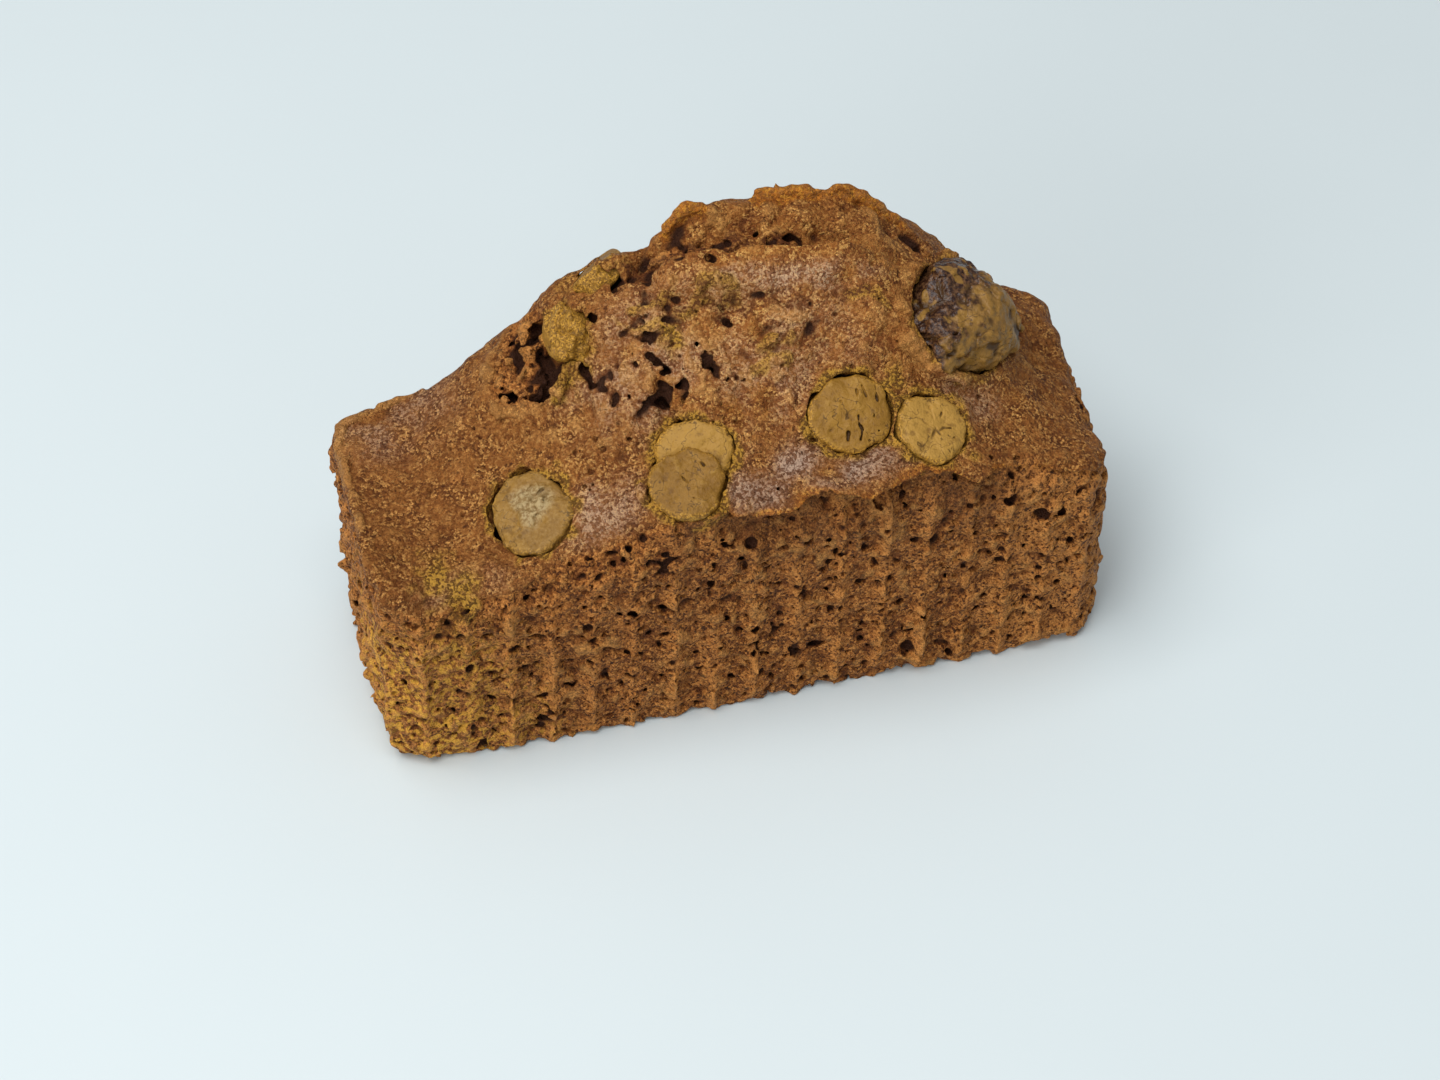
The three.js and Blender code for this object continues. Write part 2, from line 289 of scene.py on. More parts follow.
class Block:
    """Points at even steps between two corners, and the ways to sculpt a field on them."""

    def __init__(self, low, high, step):
        self.step = step
        self.low = np.array(low, float)
        sides = np.array(high, float) - self.low
        self.shape = tuple(int(math.ceil(side / step)) + 1 for side in sides)
        self.lines = [self.low[axis] + step * np.arange(self.shape[axis]) for axis in range(3)]
        self.x = self.lines[0].astype(np.float32)[:, None, None]
        self.y = self.lines[1].astype(np.float32)[None, :, None]
        self.z = self.lines[2].astype(np.float32)[None, None, :]

    def noise(self, spacing, seed, stretch=(1.0, 1.0, 1.0)):
        """Smooth random values of unit spread: one independent value every spacing along each axis."""
        weights = [spline_weights(self.lines[axis], spacing * stretch[axis]) for axis in range(3)]
        counts = [rows.shape[1] for rows in weights]
        values = np.random.default_rng(seed).standard_normal(counts).astype(np.float32)
        values = (weights[0] @ values.reshape(counts[0], -1)).reshape(-1, counts[1], counts[2])
        values = np.matmul(weights[1], values) @ weights[2].T
        return values / values.std()

    def window(self, low, high):
        """The slices and coordinates of the points between two corners, or None if there are none."""
        first = np.maximum(np.ceil((np.asarray(low) - self.low) / self.step).astype(int), 0)
        last = np.minimum(np.floor((np.asarray(high) - self.low) / self.step).astype(int) + 1, self.shape)
        if np.any(last <= first):
            return None
        cut = tuple(slice(a, b) for a, b in zip(first, last))
        return cut, self.x[cut[0]], self.y[:, cut[1]], self.z[:, :, cut[2]]

    def carve_ball(self, field, centre, radii, soft):
        """Cuts a ball with its own radius along each axis."""
        radii = np.asarray(radii, float)
        reach = radii + 3 * soft + self.step
        found = self.window(centre - reach, centre + reach)
        if found is None:
            return
        cut, x, y, z = found
        smallest = radii.min()
        shape = (x - centre[0]) / radii[0], (y - centre[1]) / radii[1], (z - centre[2]) / radii[2]
        away = (np.sqrt(shape[0] ** 2 + shape[1] ** 2 + shape[2] ** 2) - 1.0) * smallest
        field[cut] = soft_max(field[cut], -away, soft)

    def sponge(self, field, spacing, threshold, seed, deepest, soft=0.12):
        """Opens ragged pores wherever smooth noise rises above a threshold, down to a depth."""
        slope = 0.8 * spacing
        pores = (self.noise(spacing, seed) - threshold) * slope
        pores -= 3.0 * ramp(-field, deepest - 0.8, deepest)
        field[:] = soft_max(field, pores, soft)

    def path_distance(self, points, radii, pad):
        """Windows along a path with the distance from its skin, for each of its stretches."""
        points = np.asarray(points, float)
        for start, end, first, last in zip(points[:-1], points[1:], radii[:-1], radii[1:]):
            reach = max(first, last) + pad
            found = self.window(np.minimum(start, end) - reach, np.maximum(start, end) + reach)
            if found is None:
                continue
            cut, x, y, z = found
            along = end - start
            length = float(along @ along) + 1e-9
            t = ((x - start[0]) * along[0] + (y - start[1]) * along[1] + (z - start[2]) * along[2]) / length
            t = np.clip(t, 0.0, 1.0)
            away = np.sqrt(
                (x - start[0] - t * along[0]) ** 2
                + (y - start[1] - t * along[1]) ** 2
                + (z - start[2] - t * along[2]) ** 2
            )
            yield cut, away - (first + (last - first) * t)

    def carve_path(self, field, points, radii, rough, soft):
        """Cuts a groove or a hole along a path."""
        for cut, away in self.path_distance(points, radii, 4 * soft + 1.0):
            field[cut] = soft_max(field[cut], -(away + rough[cut]), soft)

    def add_path(self, field, points, radii, rough, soft):
        """Joins a rounded ridge or a lump on along a path."""
        for cut, away in self.path_distance(points, radii, 3 * soft + 1.0):
            field[cut] = soft_min(field[cut], away + rough[cut], soft)

    def sample(self, field, points):
        """The field's value at any points inside the block."""
        at = (points - self.low) / self.step
        at = np.clip(at, 0, np.array(self.shape) - 1.001)
        left = at.astype(int)
        t = at - left
        total = np.zeros(len(points))
        for corner in range(8):
            step = np.array([corner & 1, corner >> 1 & 1, corner >> 2 & 1])
            share = np.prod(np.where(step, t, 1 - t), axis=1)
            cell = left + step
            total += share * field[cell[:, 0], cell[:, 1], cell[:, 2]]
        return total

    def skin(self, field):
        """The vertices and quads of the surface where the field is zero: its one largest closed piece."""
        limit = 3 * self.step
        grid = openvdb.FloatGrid(limit)
        grid.copyFromArray(np.ascontiguousarray(np.clip(field, -limit, limit), np.float32))
        points, quads = grid.convertToQuads(isovalue=0.0)
        points = np.asarray(points, float) * self.step + self.low
        quads = np.asarray(quads, np.int64)
        points, quads = largest_piece(points, quads)
        if enclosed_volume(points, quads) < 0:
            quads = quads[:, ::-1]
        return points, quads


def largest_piece(points, quads):
    """Drops loose crumbs and hidden bubbles: keeps the piece with the most corners."""
    label = np.arange(len(points))
    a = quads[:, [0, 1, 2, 3]].ravel()
    b = quads[:, [1, 2, 3, 0]].ravel()
    while True:
        low = np.minimum(label[a], label[b])
        fresh = label.copy()
        np.minimum.at(fresh, a, low)
        np.minimum.at(fresh, b, low)
        fresh = fresh[fresh]
        fresh = fresh[fresh]
        if np.array_equal(fresh, label):
            break
        label = fresh
    names, counts = np.unique(label, return_counts=True)
    kept = label == names[np.argmax(counts)]
    number = np.cumsum(kept) - 1
    return points[kept], number[quads[kept[quads[:, 0]]]]


def enclosed_volume(points, quads):
    """Volume inside a closed mesh, below zero where its faces look inwards."""
    a, b, c, d = (points[quads[:, corner]] for corner in range(4))
    first = np.einsum("ij,ij->i", a, np.cross(b, c)).sum()
    second = np.einsum("ij,ij->i", a, np.cross(c, d)).sum()
    return (first + second) / 6.0


# ---- Meshes and pieces ----
def make_piece(name, points, quads, masks, material, uv=None):
    """A smooth mesh object from millimetre points, with one number per vertex for each mask."""
    mesh = bpy.data.meshes.new(name)
    mesh.from_pydata((points * MM).tolist(), [], quads.tolist())
    mesh.polygons.foreach_set("use_smooth", np.ones(len(mesh.polygons), bool))
    for mask_name, values in masks.items():
        layer = mesh.attributes.new(mask_name, "FLOAT", "POINT")
        layer.data.foreach_set("value", np.asarray(values, np.float32))
    if uv is not None:
        layer = mesh.uv_layers.new(name="OFBake")
        layer.data.foreach_set("uv", uv.astype(np.float32).ravel())
    mesh.materials.append(material)
    mesh.update()
    piece = bpy.data.objects.new(name, mesh)
    bpy.context.scene.collection.objects.link(piece)
    return piece


def stand_for(piece, node):
    """The piece rides on the body and takes the node's place: the node is hidden."""
    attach(piece, BODY)
    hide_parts(node)


CHART_MARGIN = 3.0          # room between two charts, in millimetres
CHART_BORDER = 1.0          # room round all of them


def chart_uv(points, quads, facing):
    """Six flat charts, one for each side of the box, packed side by side in the unit square."""
    low, high = points.min(0), points.max(0)
    length, width, height = high - low
    right = length + CHART_MARGIN
    # for each side: its outward axis and sign, the axes that run along u and v, and where the chart starts
    charts = [
        ((1, -1), 0, 2, 0.0, 0.0),
        ((1, 1), 0, 2, 0.0, height + CHART_MARGIN),
        ((2, 1), 0, 1, 0.0, 2 * (height + CHART_MARGIN)),
        ((0, -1), 2, 1, right, 0.0),
        ((0, 1), 2, 1, right, width + CHART_MARGIN),
        ((2, -1), 1, 0, right, 2 * (width + CHART_MARGIN)),
    ]
    scores = np.stack([facing[:, axis] * sign for (axis, sign), *_ in charts], axis=1)
    chosen = np.argmax(scores, axis=1)
    corners = points[quads]
    uv = np.zeros((len(quads), 4, 2))
    for index, (_, along_u, along_v, start_u, start_v) in enumerate(charts):
        mine = chosen == index
        uv[mine, :, 0] = corners[mine][:, :, along_u] - low[along_u] + start_u
        uv[mine, :, 1] = corners[mine][:, :, along_v] - low[along_v] + start_v
    side = max(
        length + CHART_MARGIN + height,
        2 * (width + CHART_MARGIN) + length,
        2 * height + width + 3 * CHART_MARGIN,
    )
    return (uv + CHART_BORDER) / (side + 2 * CHART_BORDER)


def field_slope(block, field, points, reach=1.5):
    """The direction in which a field grows, at each point."""
    slope = np.empty_like(points)
    for axis in range(3):
        offset = np.zeros(3)
        offset[axis] = reach
        slope[:, axis] = block.sample(field, points + offset) - block.sample(field, points - offset)
    return slope / np.maximum(np.linalg.norm(slope, axis=1, keepdims=True), 1e-9)


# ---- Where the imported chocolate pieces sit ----
class Seat:
    """Middle, outward axis and radius of a packed chocolate piece, in the loaf's own millimetres."""

    def __init__(self, node):
        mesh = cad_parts[node].data
        points = np.empty(len(mesh.vertices) * 3)
        mesh.vertices.foreach_get("co", points)
        points = points.reshape(-1, 3) / MM - DATUM
        self.node = node
        self.middle = (points.min(0) + points.max(0)) / 2
        around = points - points.mean(0)
        axes = np.linalg.eigh(around.T @ around)[1]
        self.axis = axes[:, 0] if axes[2, 0] > 0 else -axes[:, 0]
        across = around - np.outer(around @ self.axis, self.axis)
        self.radius = float(np.linalg.norm(across, axis=1).max())
        self.half_height = float(np.abs(around @ self.axis).max())

    def frame_matrix(self):
        """Turns the piece's own upright axes, in millimetres, into the loaf's."""
        turn = Vector((0, 0, 1)).rotation_difference(Vector(self.axis)).to_matrix()
        return np.array(turn)

    def local(self, x, y, z):
        """Upright coordinates of points round the piece: two across and one along its axis."""
        turn = self.frame_matrix()
        dx, dy, dz = x - self.middle[0], y - self.middle[1], z - self.middle[2]
        return [turn[0, axis] * dx + turn[1, axis] * dy + turn[2, axis] * dz for axis in range(3)]


RIMMED_DROPS = [LEFT, FRONT, MIDDLE, RIGHT]     # the crust stands up as a thin edge round these
# how each drop has spread: across and up the dome, and its shift across and up the dome
DROP_OVALS = {
    LEFT: (1.06, 1.15, 0.0, -0.5),
    FRONT: (0.98, 0.92, 0.0, 0.0),
    TUCKED: (1.15, 1.0, -1.6, 1.2),
    MIDDLE: (1.0, 0.93, 0.0, -0.2),
    RIGHT: (1.08, 1.05, 0.0, 0.0),
    CRUSTED: (0.82, 0.95, -0.4, 0.0),
}
ROUND = (1.0, 1.0, 0.0, 0.0)    # a drop that hasn't spread
DROP_HALF_HEIGHT = 2.3      # half the height of a baking drop
DROP_DOME = 0.45            # how far its top falls away from the middle to the edge
DROP_ROUNDING = 0.9
# waves in the outline of a drop: how many go round it, how high, and how far each drop's are turned
OUTLINE_WAVES = [(3, 0.020, 2.4), (5, 0.014, 4.8), (9, 0.010, 0.0)]
LUMP_RADII = (10.5, 8.9, 6.6)
LUMP_REACH = 7.0            # makes the lump's field about a distance in millimetres


def oval_distance(u, v, seat):
    """Distance from the drop's axis, in a measure that makes its oval outline a circle."""
    stretch_u, stretch_v, shift_u, shift_v = DROP_OVALS.get(seat.node, ROUND)
    across, up = (u - shift_u) / stretch_u, (v - shift_v) / stretch_v
    turn = np.arctan2(up, across)
    index = DROP_NODES.index(seat.node) if seat.node in DROP_NODES else 0
    uneven = sum(high * np.sin(count * turn + phase * index) for count, high, phase in OUTLINE_WAVES)
    return np.sqrt(across**2 + up**2) * (1.0 + uneven)


def drop_shape(u, v, w, seat):
    """Field of a baking drop round its own upright axis: flat below, softly domed above, melted oval."""
    out = oval_distance(u, v, seat)
    top = w - DROP_HALF_HEIGHT + DROP_DOME * np.clip(out / seat.radius, 0.0, 1.5) ** 2
    bottom = -w - DROP_HALF_HEIGHT
    return soft_max(soft_max(top, bottom, DROP_ROUNDING), out - seat.radius, DROP_ROUNDING)


def lump_shape(u, v, w):
    """Field of the melted lump round its own upright axis."""
    around = np.sqrt((u / LUMP_RADII[0]) ** 2 + (v / LUMP_RADII[1]) ** 2 + (w / LUMP_RADII[2]) ** 2)
    return (around - 1.0) * LUMP_REACH


def chocolate_shape(u, v, w, seat):
    """Field of whichever piece sits in a seat."""
    return lump_shape(u, v, w) if seat.node == LUMP_NODE else drop_shape(u, v, w, seat)


# ---- The loaf's features ----
# Those of the crust are places (x, y) on it, most of them with a radius last.
# splits and holes that go down into dark crumb: points (x, y, radius)
CRACKS = [
    [(-11.2, 1.5, 0.5), (-10.3, 0.4, 0.8), (-9.1, -0.9, 0.7), (-7.6, -2.8, 0.4)],
    [(-12.0, -3.0, 0.8), (-10.6, -3.9, 1.2), (-9.0, -5.2, 1.0), (-7.9, -7.0, 1.3), (-6.6, -9.0, 0.8)],
    [(-1.7, -8.7, 0.5), (-0.3, -9.4, 0.7), (0.8, -10.4, 0.4)],
    [(-1.2, -3.4, 0.4), (-0.9, -4.8, 0.5), (-0.4, -6.0, 0.3)],
    [(-6.2, 3.5, 0.8), (-4.8, 2.1, 1.0), (-3.5, 0.2, 0.5)],
    [(1.9, 0.3, 0.6), (2.3, -0.9, 0.4)],
    [(16.6, -1.5, 0.4), (17.8, -2.0, 0.5), (20.4, -2.2, 0.2)],
    [(8.8, 11.3, 0.8), (11.0, 11.0, 1.7), (13.2, 10.2, 1.6), (15.4, 9.2, 0.9)],
    [(17.3, 9.1, 1.2), (17.9, 8.4, 1.2)],
    [(19.4, 7.9, 0.6), (21.6, 7.4, 1.0), (24.4, 6.7, 0.5)],
    [(0.4, 10.7, 0.6), (1.4, 10.1, 0.7)],
    [(3.2, 11.0, 0.6), (3.6, 10.6, 0.5)],
    [(-18.0, 12.8, 0.9), (-17.8, 9.8, 0.9), (-18.4, 7.2, 0.5)],
    [(-21.3, 5.2, 0.8), (-20.7, 3.4, 0.9), (-20.3, 2.0, 0.5)],
    [(33.4, 11.6, 0.9), (34.8, 10.2, 1.5), (36.0, 9.0, 0.8)],
    [(46.6, 9.6, 0.5), (48.2, 8.0, 0.8), (49.2, 6.2, 0.7), (47.0, 1.6, 0.4)],
    [(-29.6, 1.6, 0.6), (-30.0, 0.6, 0.4)],
    [(-30.4, -1.4, 0.5), (-30.6, -3.0, 0.7), (-30.4, -4.4, 0.4)],
    [(-15.8, -0.6, 0.3), (-15.0, -1.2, 0.5), (-13.6, -1.2, 0.2)],
]
CRACK_DEPTH = 2.2           # how far a crack goes down into the crust
FISSURES = 130              # short random splits where the crust is rough
FISSURE_SEED = 53
FISSURE_SPREAD = ((-6.0, 11.0), (2.0, 7.0))     # middle and spread of the x and of the y where they start
FISSURE_STEP = 1.1          # length of one of their 3 to 5 stretches
ROUGH_ENOUGH = 0.35         # how rough the crust has to be for a fissure
# the fold that runs across the dome below its crown: points (x, y, radius)
LEDGE = [
    (-10.2, 12.6, 0.4), (-8.4, 11.8, 1.0), (-6.8, 11.0, 0.7), (-3.9, 10.4, 1.0), (-0.4, 10.8, 1.3),
    (2.4, 11.2, 1.1), (6.0, 11.6, 0.8), (9.0, 11.8, 0.8),
]
# the torn hollow on the left shoulder: middle (x, y), radii along x, y, z
CRATER = ((-29.2, 11.4), (5.4, 7.4, 2.6))
# dark holes in it, lumps of crumb that stand in it, and the skin that stands up round it: (x, y, radius)
CRATER_HOLES = [
    (-32.2, 7.9, 1.5), (-31.0, 6.4, 1.0), (-28.2, 5.4, 1.7), (-26.6, 5.6, 1.2), (-25.0, 7.9, 1.6),
    (-24.9, 10.2, 1.2), (-29.7, 14.2, 1.0), (-25.4, 15.0, 1.0),
]
CRATER_LUMPS = [
    (-28.4, 9.4, 1.9), (-29.8, 11.8, 1.5), (-27.0, 12.8, 1.6), (-32.2, 11.8, 1.4), (-30.0, 8.2, 1.0),
    (-26.0, 16.0, 1.2), (-29.0, 16.4, 1.3), (-31.6, 14.6, 1.2),
]
CRATER_RIM = [
    (-29.6, 19.0, 0.5), (-32.4, 17.4, 0.6), (-34.4, 14.6, 0.7), (-35.0, 11.2, 0.8), (-34.4, 7.4, 0.8),
    (-32.2, 4.6, 0.7), (-29.0, 3.4, 0.8), (-25.6, 3.8, 0.9), (-23.8, 5.4, 0.7),
]
# thin torn crust that stands up along the back of the crown: points (x, y, lift, radius)
CROWN_FLAP = [
    (10.2, 17.6, -0.8, 0.6), (11.6, 17.9, 0.2, 1.0), (14.4, 17.8, 0.4, 0.9), (17.6, 17.4, 0.0, 0.9),
    (21.0, 17.0, 0.1, 1.0), (24.5, 16.6, 0.7, 1.1), (27.5, 16.2, 0.5, 1.0), (30.5, 15.4, 0.1, 0.9),
    (33.5, 14.2, -0.3, 0.8),
]
SMALL_FLAP = [(-4.4, 16.4, -0.5, 0.7), (-2.6, 16.9, 0.7, 1.0), (-0.6, 17.0, 0.8, 1.0), (1.2, 16.8, -0.2, 0.7)]
# the crust's own edge over the left end: points (x, y, lift, radius)
END_CURL = [
    (-58.6, -14.0, -0.6, 0.4), (-58.8, -4.0, -0.4, 0.5), (-58.8, 6.0, -0.3, 0.6), (-58.6, 13.0, -0.1, 0.8),
    (-57.4, 17.6, 0.0, 0.9), (-51.0, 18.8, -0.2, 0.7), (-44.0, 19.0, -0.4, 0.4),
]
# folds in the skin of the dome: points (x, y, radius)
FOLDS = [
    [(-9.6, 4.2, 0.4), (-7.0, 3.2, 0.6), (-4.0, 3.6, 0.5), (-1.6, 4.6, 0.4)],
    [(-14.4, 6.5, 0.4), (-12.0, 4.6, 0.5), (-9.6, 4.0, 0.5), (-6.8, 4.2, 0.4)],
    [(-12.4, 7.4, 0.3), (-10.2, 6.6, 0.5), (-8.0, 6.2, 0.3)],
    [(-3.4, 4.2, 0.3), (-1.4, 5.4, 0.5), (1.2, 5.3, 0.5), (3.6, 3.8, 0.4)],
    [(5.6, -2.6, 0.4), (8.2, -2.2, 0.6), (11.2, -2.4, 0.3)],
    [(4.6, -4.4, 0.3), (7.4, -4.0, 0.5), (10.0, -4.2, 0.3)],
    [(21.6, 0.8, 0.3), (24.0, 0.6, 0.5), (26.4, -0.6, 0.3)],
]
# single holes in the front wall: points (x, z, radius)
WALL_HOLES = [
    (47.3, 32.3, 1.3), (40.6, 23.4, 1.0), (32.7, 14.3, 0.9), (25.9, 6.0, 1.3), (19.3, 3.0, 0.8),
    (-21.1, 39.2, 1.3), (-16.0, 10.7, 0.8), (-37.0, 17.9, 0.8), (-50.4, 30.0, 0.8), (37.4, 38.0, 0.9),
    (41.8, 37.0, 1.1), (23.7, 9.1, 0.7), (-0.5, 38.2, 1.0), (8.6, 36.9, 0.9), (-6.4, 24.7, 0.8),
    (-46.0, 22.0, 0.9), (14.0, 27.0, 0.8), (-27.0, 26.0, 0.9), (3.0, 15.0, 0.9), (29.5, 31.0, 0.9),
    (-55.0, 21.0, 0.7), (52.5, 20.0, 0.8), (46.0, 12.0, 0.9), (-33.0, 8.0, 0.8),
]
# single pinholes in the smooth skin: (x, y, radius)
PINHOLES = [
    (-44.0, -1.8, 0.45), (-44.6, 4.9, 0.35), (-42.4, 5.3, 0.35), (-37.7, 4.4, 0.4), (-42.9, -6.2, 0.4),
    (-24.6, -5.2, 0.4), (-33.0, 1.0, 0.35), (-47.0, -8.0, 0.3), (-15.0, -8.0, 0.35), (-27.0, 0.5, 0.4),
    (40.0, -9.0, 0.5), (43.0, -12.0, 0.4), (12.0, 3.0, 0.35), (6.0, 6.0, 0.3), (22.0, -5.0, 0.45),
    (-2.0, 14.0, 0.5), (5.5, 13.0, 0.4),
]
# where the random holes lie: along the loaf, across its base, up its long walls, across and up its ends
HOLES_ALONG = (-57, 57)
HOLES_ACROSS = (-21, 19)
HOLES_UP = (2, 42)
END_HOLES_ACROSS = (-20, 18)
END_HOLES_UP = (2, 36)
HOLE_RADII = (0.3, 0.6)
# random pinholes, most of them near the middle of the dome: middle and spread of their x and of their y
RANDOM_PINHOLES = 260
PINHOLE_SPREAD = ((-4.0, 17.0), (2.0, 9.0))
PINHOLES_ACROSS = (-19, 20)     # none lies outside these y, or nearer than this to an end
PINHOLES_OFF_END = 4
# olive and yellow stains where cocoa butter ran: middle (x, y) and radius
STAINS = [
    (-50.0, -15.5, 4.5), (-46.5, -19.5, 4.0), (-22.0, 6.0, 4.0), (26.5, -8.2, 2.0), (33.5, -17.5, 3.5),
    (-7.0, 3.0, 3.0),
]
STAIN_SHARES = {SHOULDER: 0.3, LUMP_NODE: 0.7, CRUSTED: 0.6}   # of the stain in a socket; full elsewhere
# soft patches of the crust, each with its middle (x, y), reach (x, y) and strength: pale pinkish bloom with
# painted sheen, rough and cracked skin, painted warm light on a lighter dome, and skin torn open
BLOOM_AND_SHEEN_PATCHES = [
    (9.0, -18.3, 16.0, 4.0, 1.1), (-22.5, -15.0, 7.0, 4.5, 0.6), (-12.0, 1.0, 11.0, 8.0, 0.5),
    (5.0, 5.0, 6.0, 1.5, 0.55), (12.0, 3.5, 7.0, 1.5, 0.6), (20.0, 3.0, 6.0, 1.3, 0.6),
    (-49.0, 15.0, 9.0, 7.0, 0.5), (38.0, -9.0, 5.0, 4.0, 0.5), (5.0, -7.0, 8.0, 4.0, 0.4),
    (-46.0, -19.0, 7.0, 3.0, 0.3), (9.0, -3.0, 13.0, 6.0, 0.35),
]
ROUGH = [
    (-8.0, -1.0, 14.0, 9.0, 1.0), (-4.0, 13.6, 14.0, 4.0, 1.2), (13.0, 12.5, 10.0, 3.0, 0.8),
    (24.0, -5.0, 7.0, 5.0, 0.6), (51.0, 6.0, 6.0, 6.0, 0.8), (-27.0, -3.0, 6.0, 4.0, 0.5),
    (-29.5, 10.5, 7.0, 7.0, 1.0), (8.0, -4.0, 13.0, 7.0, 0.7), (32.0, 10.0, 5.0, 5.0, 0.8),
]
# painted light: warm brightening of the dome's crust where it faces the light, over a crust that is lighter
# there too
DOME_TINT_AND_LIGHT = [(4.0, 2.0, 26.0, 13.0, 1.0), (-26.0, -12.0, 10.0, 8.0, 0.5), (40.0, -8.0, 10.0, 6.0, 0.4)]
TORN = [
    (-29.2, 11.2, 5.3, 7.2, 1.0), (-5.5, 12.6, 6.0, 1.9, 0.9), (3.0, 11.6, 5.0, 1.5, 0.8),
    (12.0, 9.8, 5.0, 1.2, 0.5),
]


def loaf_walls(block):
    """Distance from the liner's walls, and the place along them, both for every point."""
    x, y, z = block.x, block.y + FORWARD_SHIFT, block.z
    draw_in = BASE_INSET * (1 - np.clip(z / INSET_HEIGHT, 0.0, 1.0))
    flat_x = HALF_LENGTH - CORNER_RADIUS
    flat_y = HALF_WIDTH - CORNER_RADIUS
    over_x = np.abs(x) - flat_x
    over_y = np.abs(y) - flat_y
    corner = np.sqrt(np.maximum(over_x, 0) ** 2 + np.maximum(over_y, 0) ** 2)
    inside = np.minimum(np.maximum(over_x, over_y), 0)
    wall = corner + inside - CORNER_RADIUS + draw_in
    # place along the wall, counted from the middle of the front, for the pleats
    turn = np.arctan2(np.maximum(over_x, 0), np.maximum(over_y, 1e-6))
    quarter = CORNER_RADIUS * math.pi / 2
    front = np.minimum(np.abs(x), flat_x) + CORNER_RADIUS * turn
    end = flat_x + quarter + np.clip(y + flat_y, 0, 2 * flat_y)
    back = flat_x + 2 * quarter + 2 * flat_y + flat_x - np.minimum(np.abs(x), flat_x) - CORNER_RADIUS * turn
    on_end = (over_x > 0) & (over_y <= 0)
    place = np.where(on_end, end, np.where(y > 0, back, front)).astype(np.float32)
    return wall.astype(np.float32), place


def pleat_ridges(block, settings, place, rim, small):
    """The liner's pleats: sharp ridges between shallow flutes, stronger low down, weak at the right end."""
    wander = 0.8 * block.noise(16.0, settings.seed + 4, (1.0, 1.0, 6.0))
    ridge = 1.12 - np.sqrt(np.sin(np.pi * (place + wander) / settings.pleat_pitch) ** 2 + 0.015)
    strength = np.clip(0.85 + 0.40 * block.noise(4.0, settings.seed + 5, (1.0, 1.0, 1.6)), 0.2, 1.15)
    strength = strength * (1.0 - 0.6 * ramp(block.x, *PLEATS_FADE))
    lower = 1.0 - ramp(block.z, *PLEATS_LOW)
    profile = 0.55 * ridge + 0.50 * ridge**4 - 0.30
    pleats = settings.pleat_depth * strength * profile * (0.7 + 0.35 * lower)
    pleats = pleats * (0.5 + 0.5 * ramp(block.z, 0.0, 5.0)) * (1.0 + 0.2 * small)
    pleats = pleats * ramp(rim - 0.5 - block.z, 0.0, 4.0)
    # painted highlight, partly drier crumb: the ridges are lightened
    rib_dry_and_lit = ridge**3 * (0.6 + 0.4 * lower) * np.clip(strength, 0.4, 1.2)
    return pleats, ridge, rib_dry_and_lit


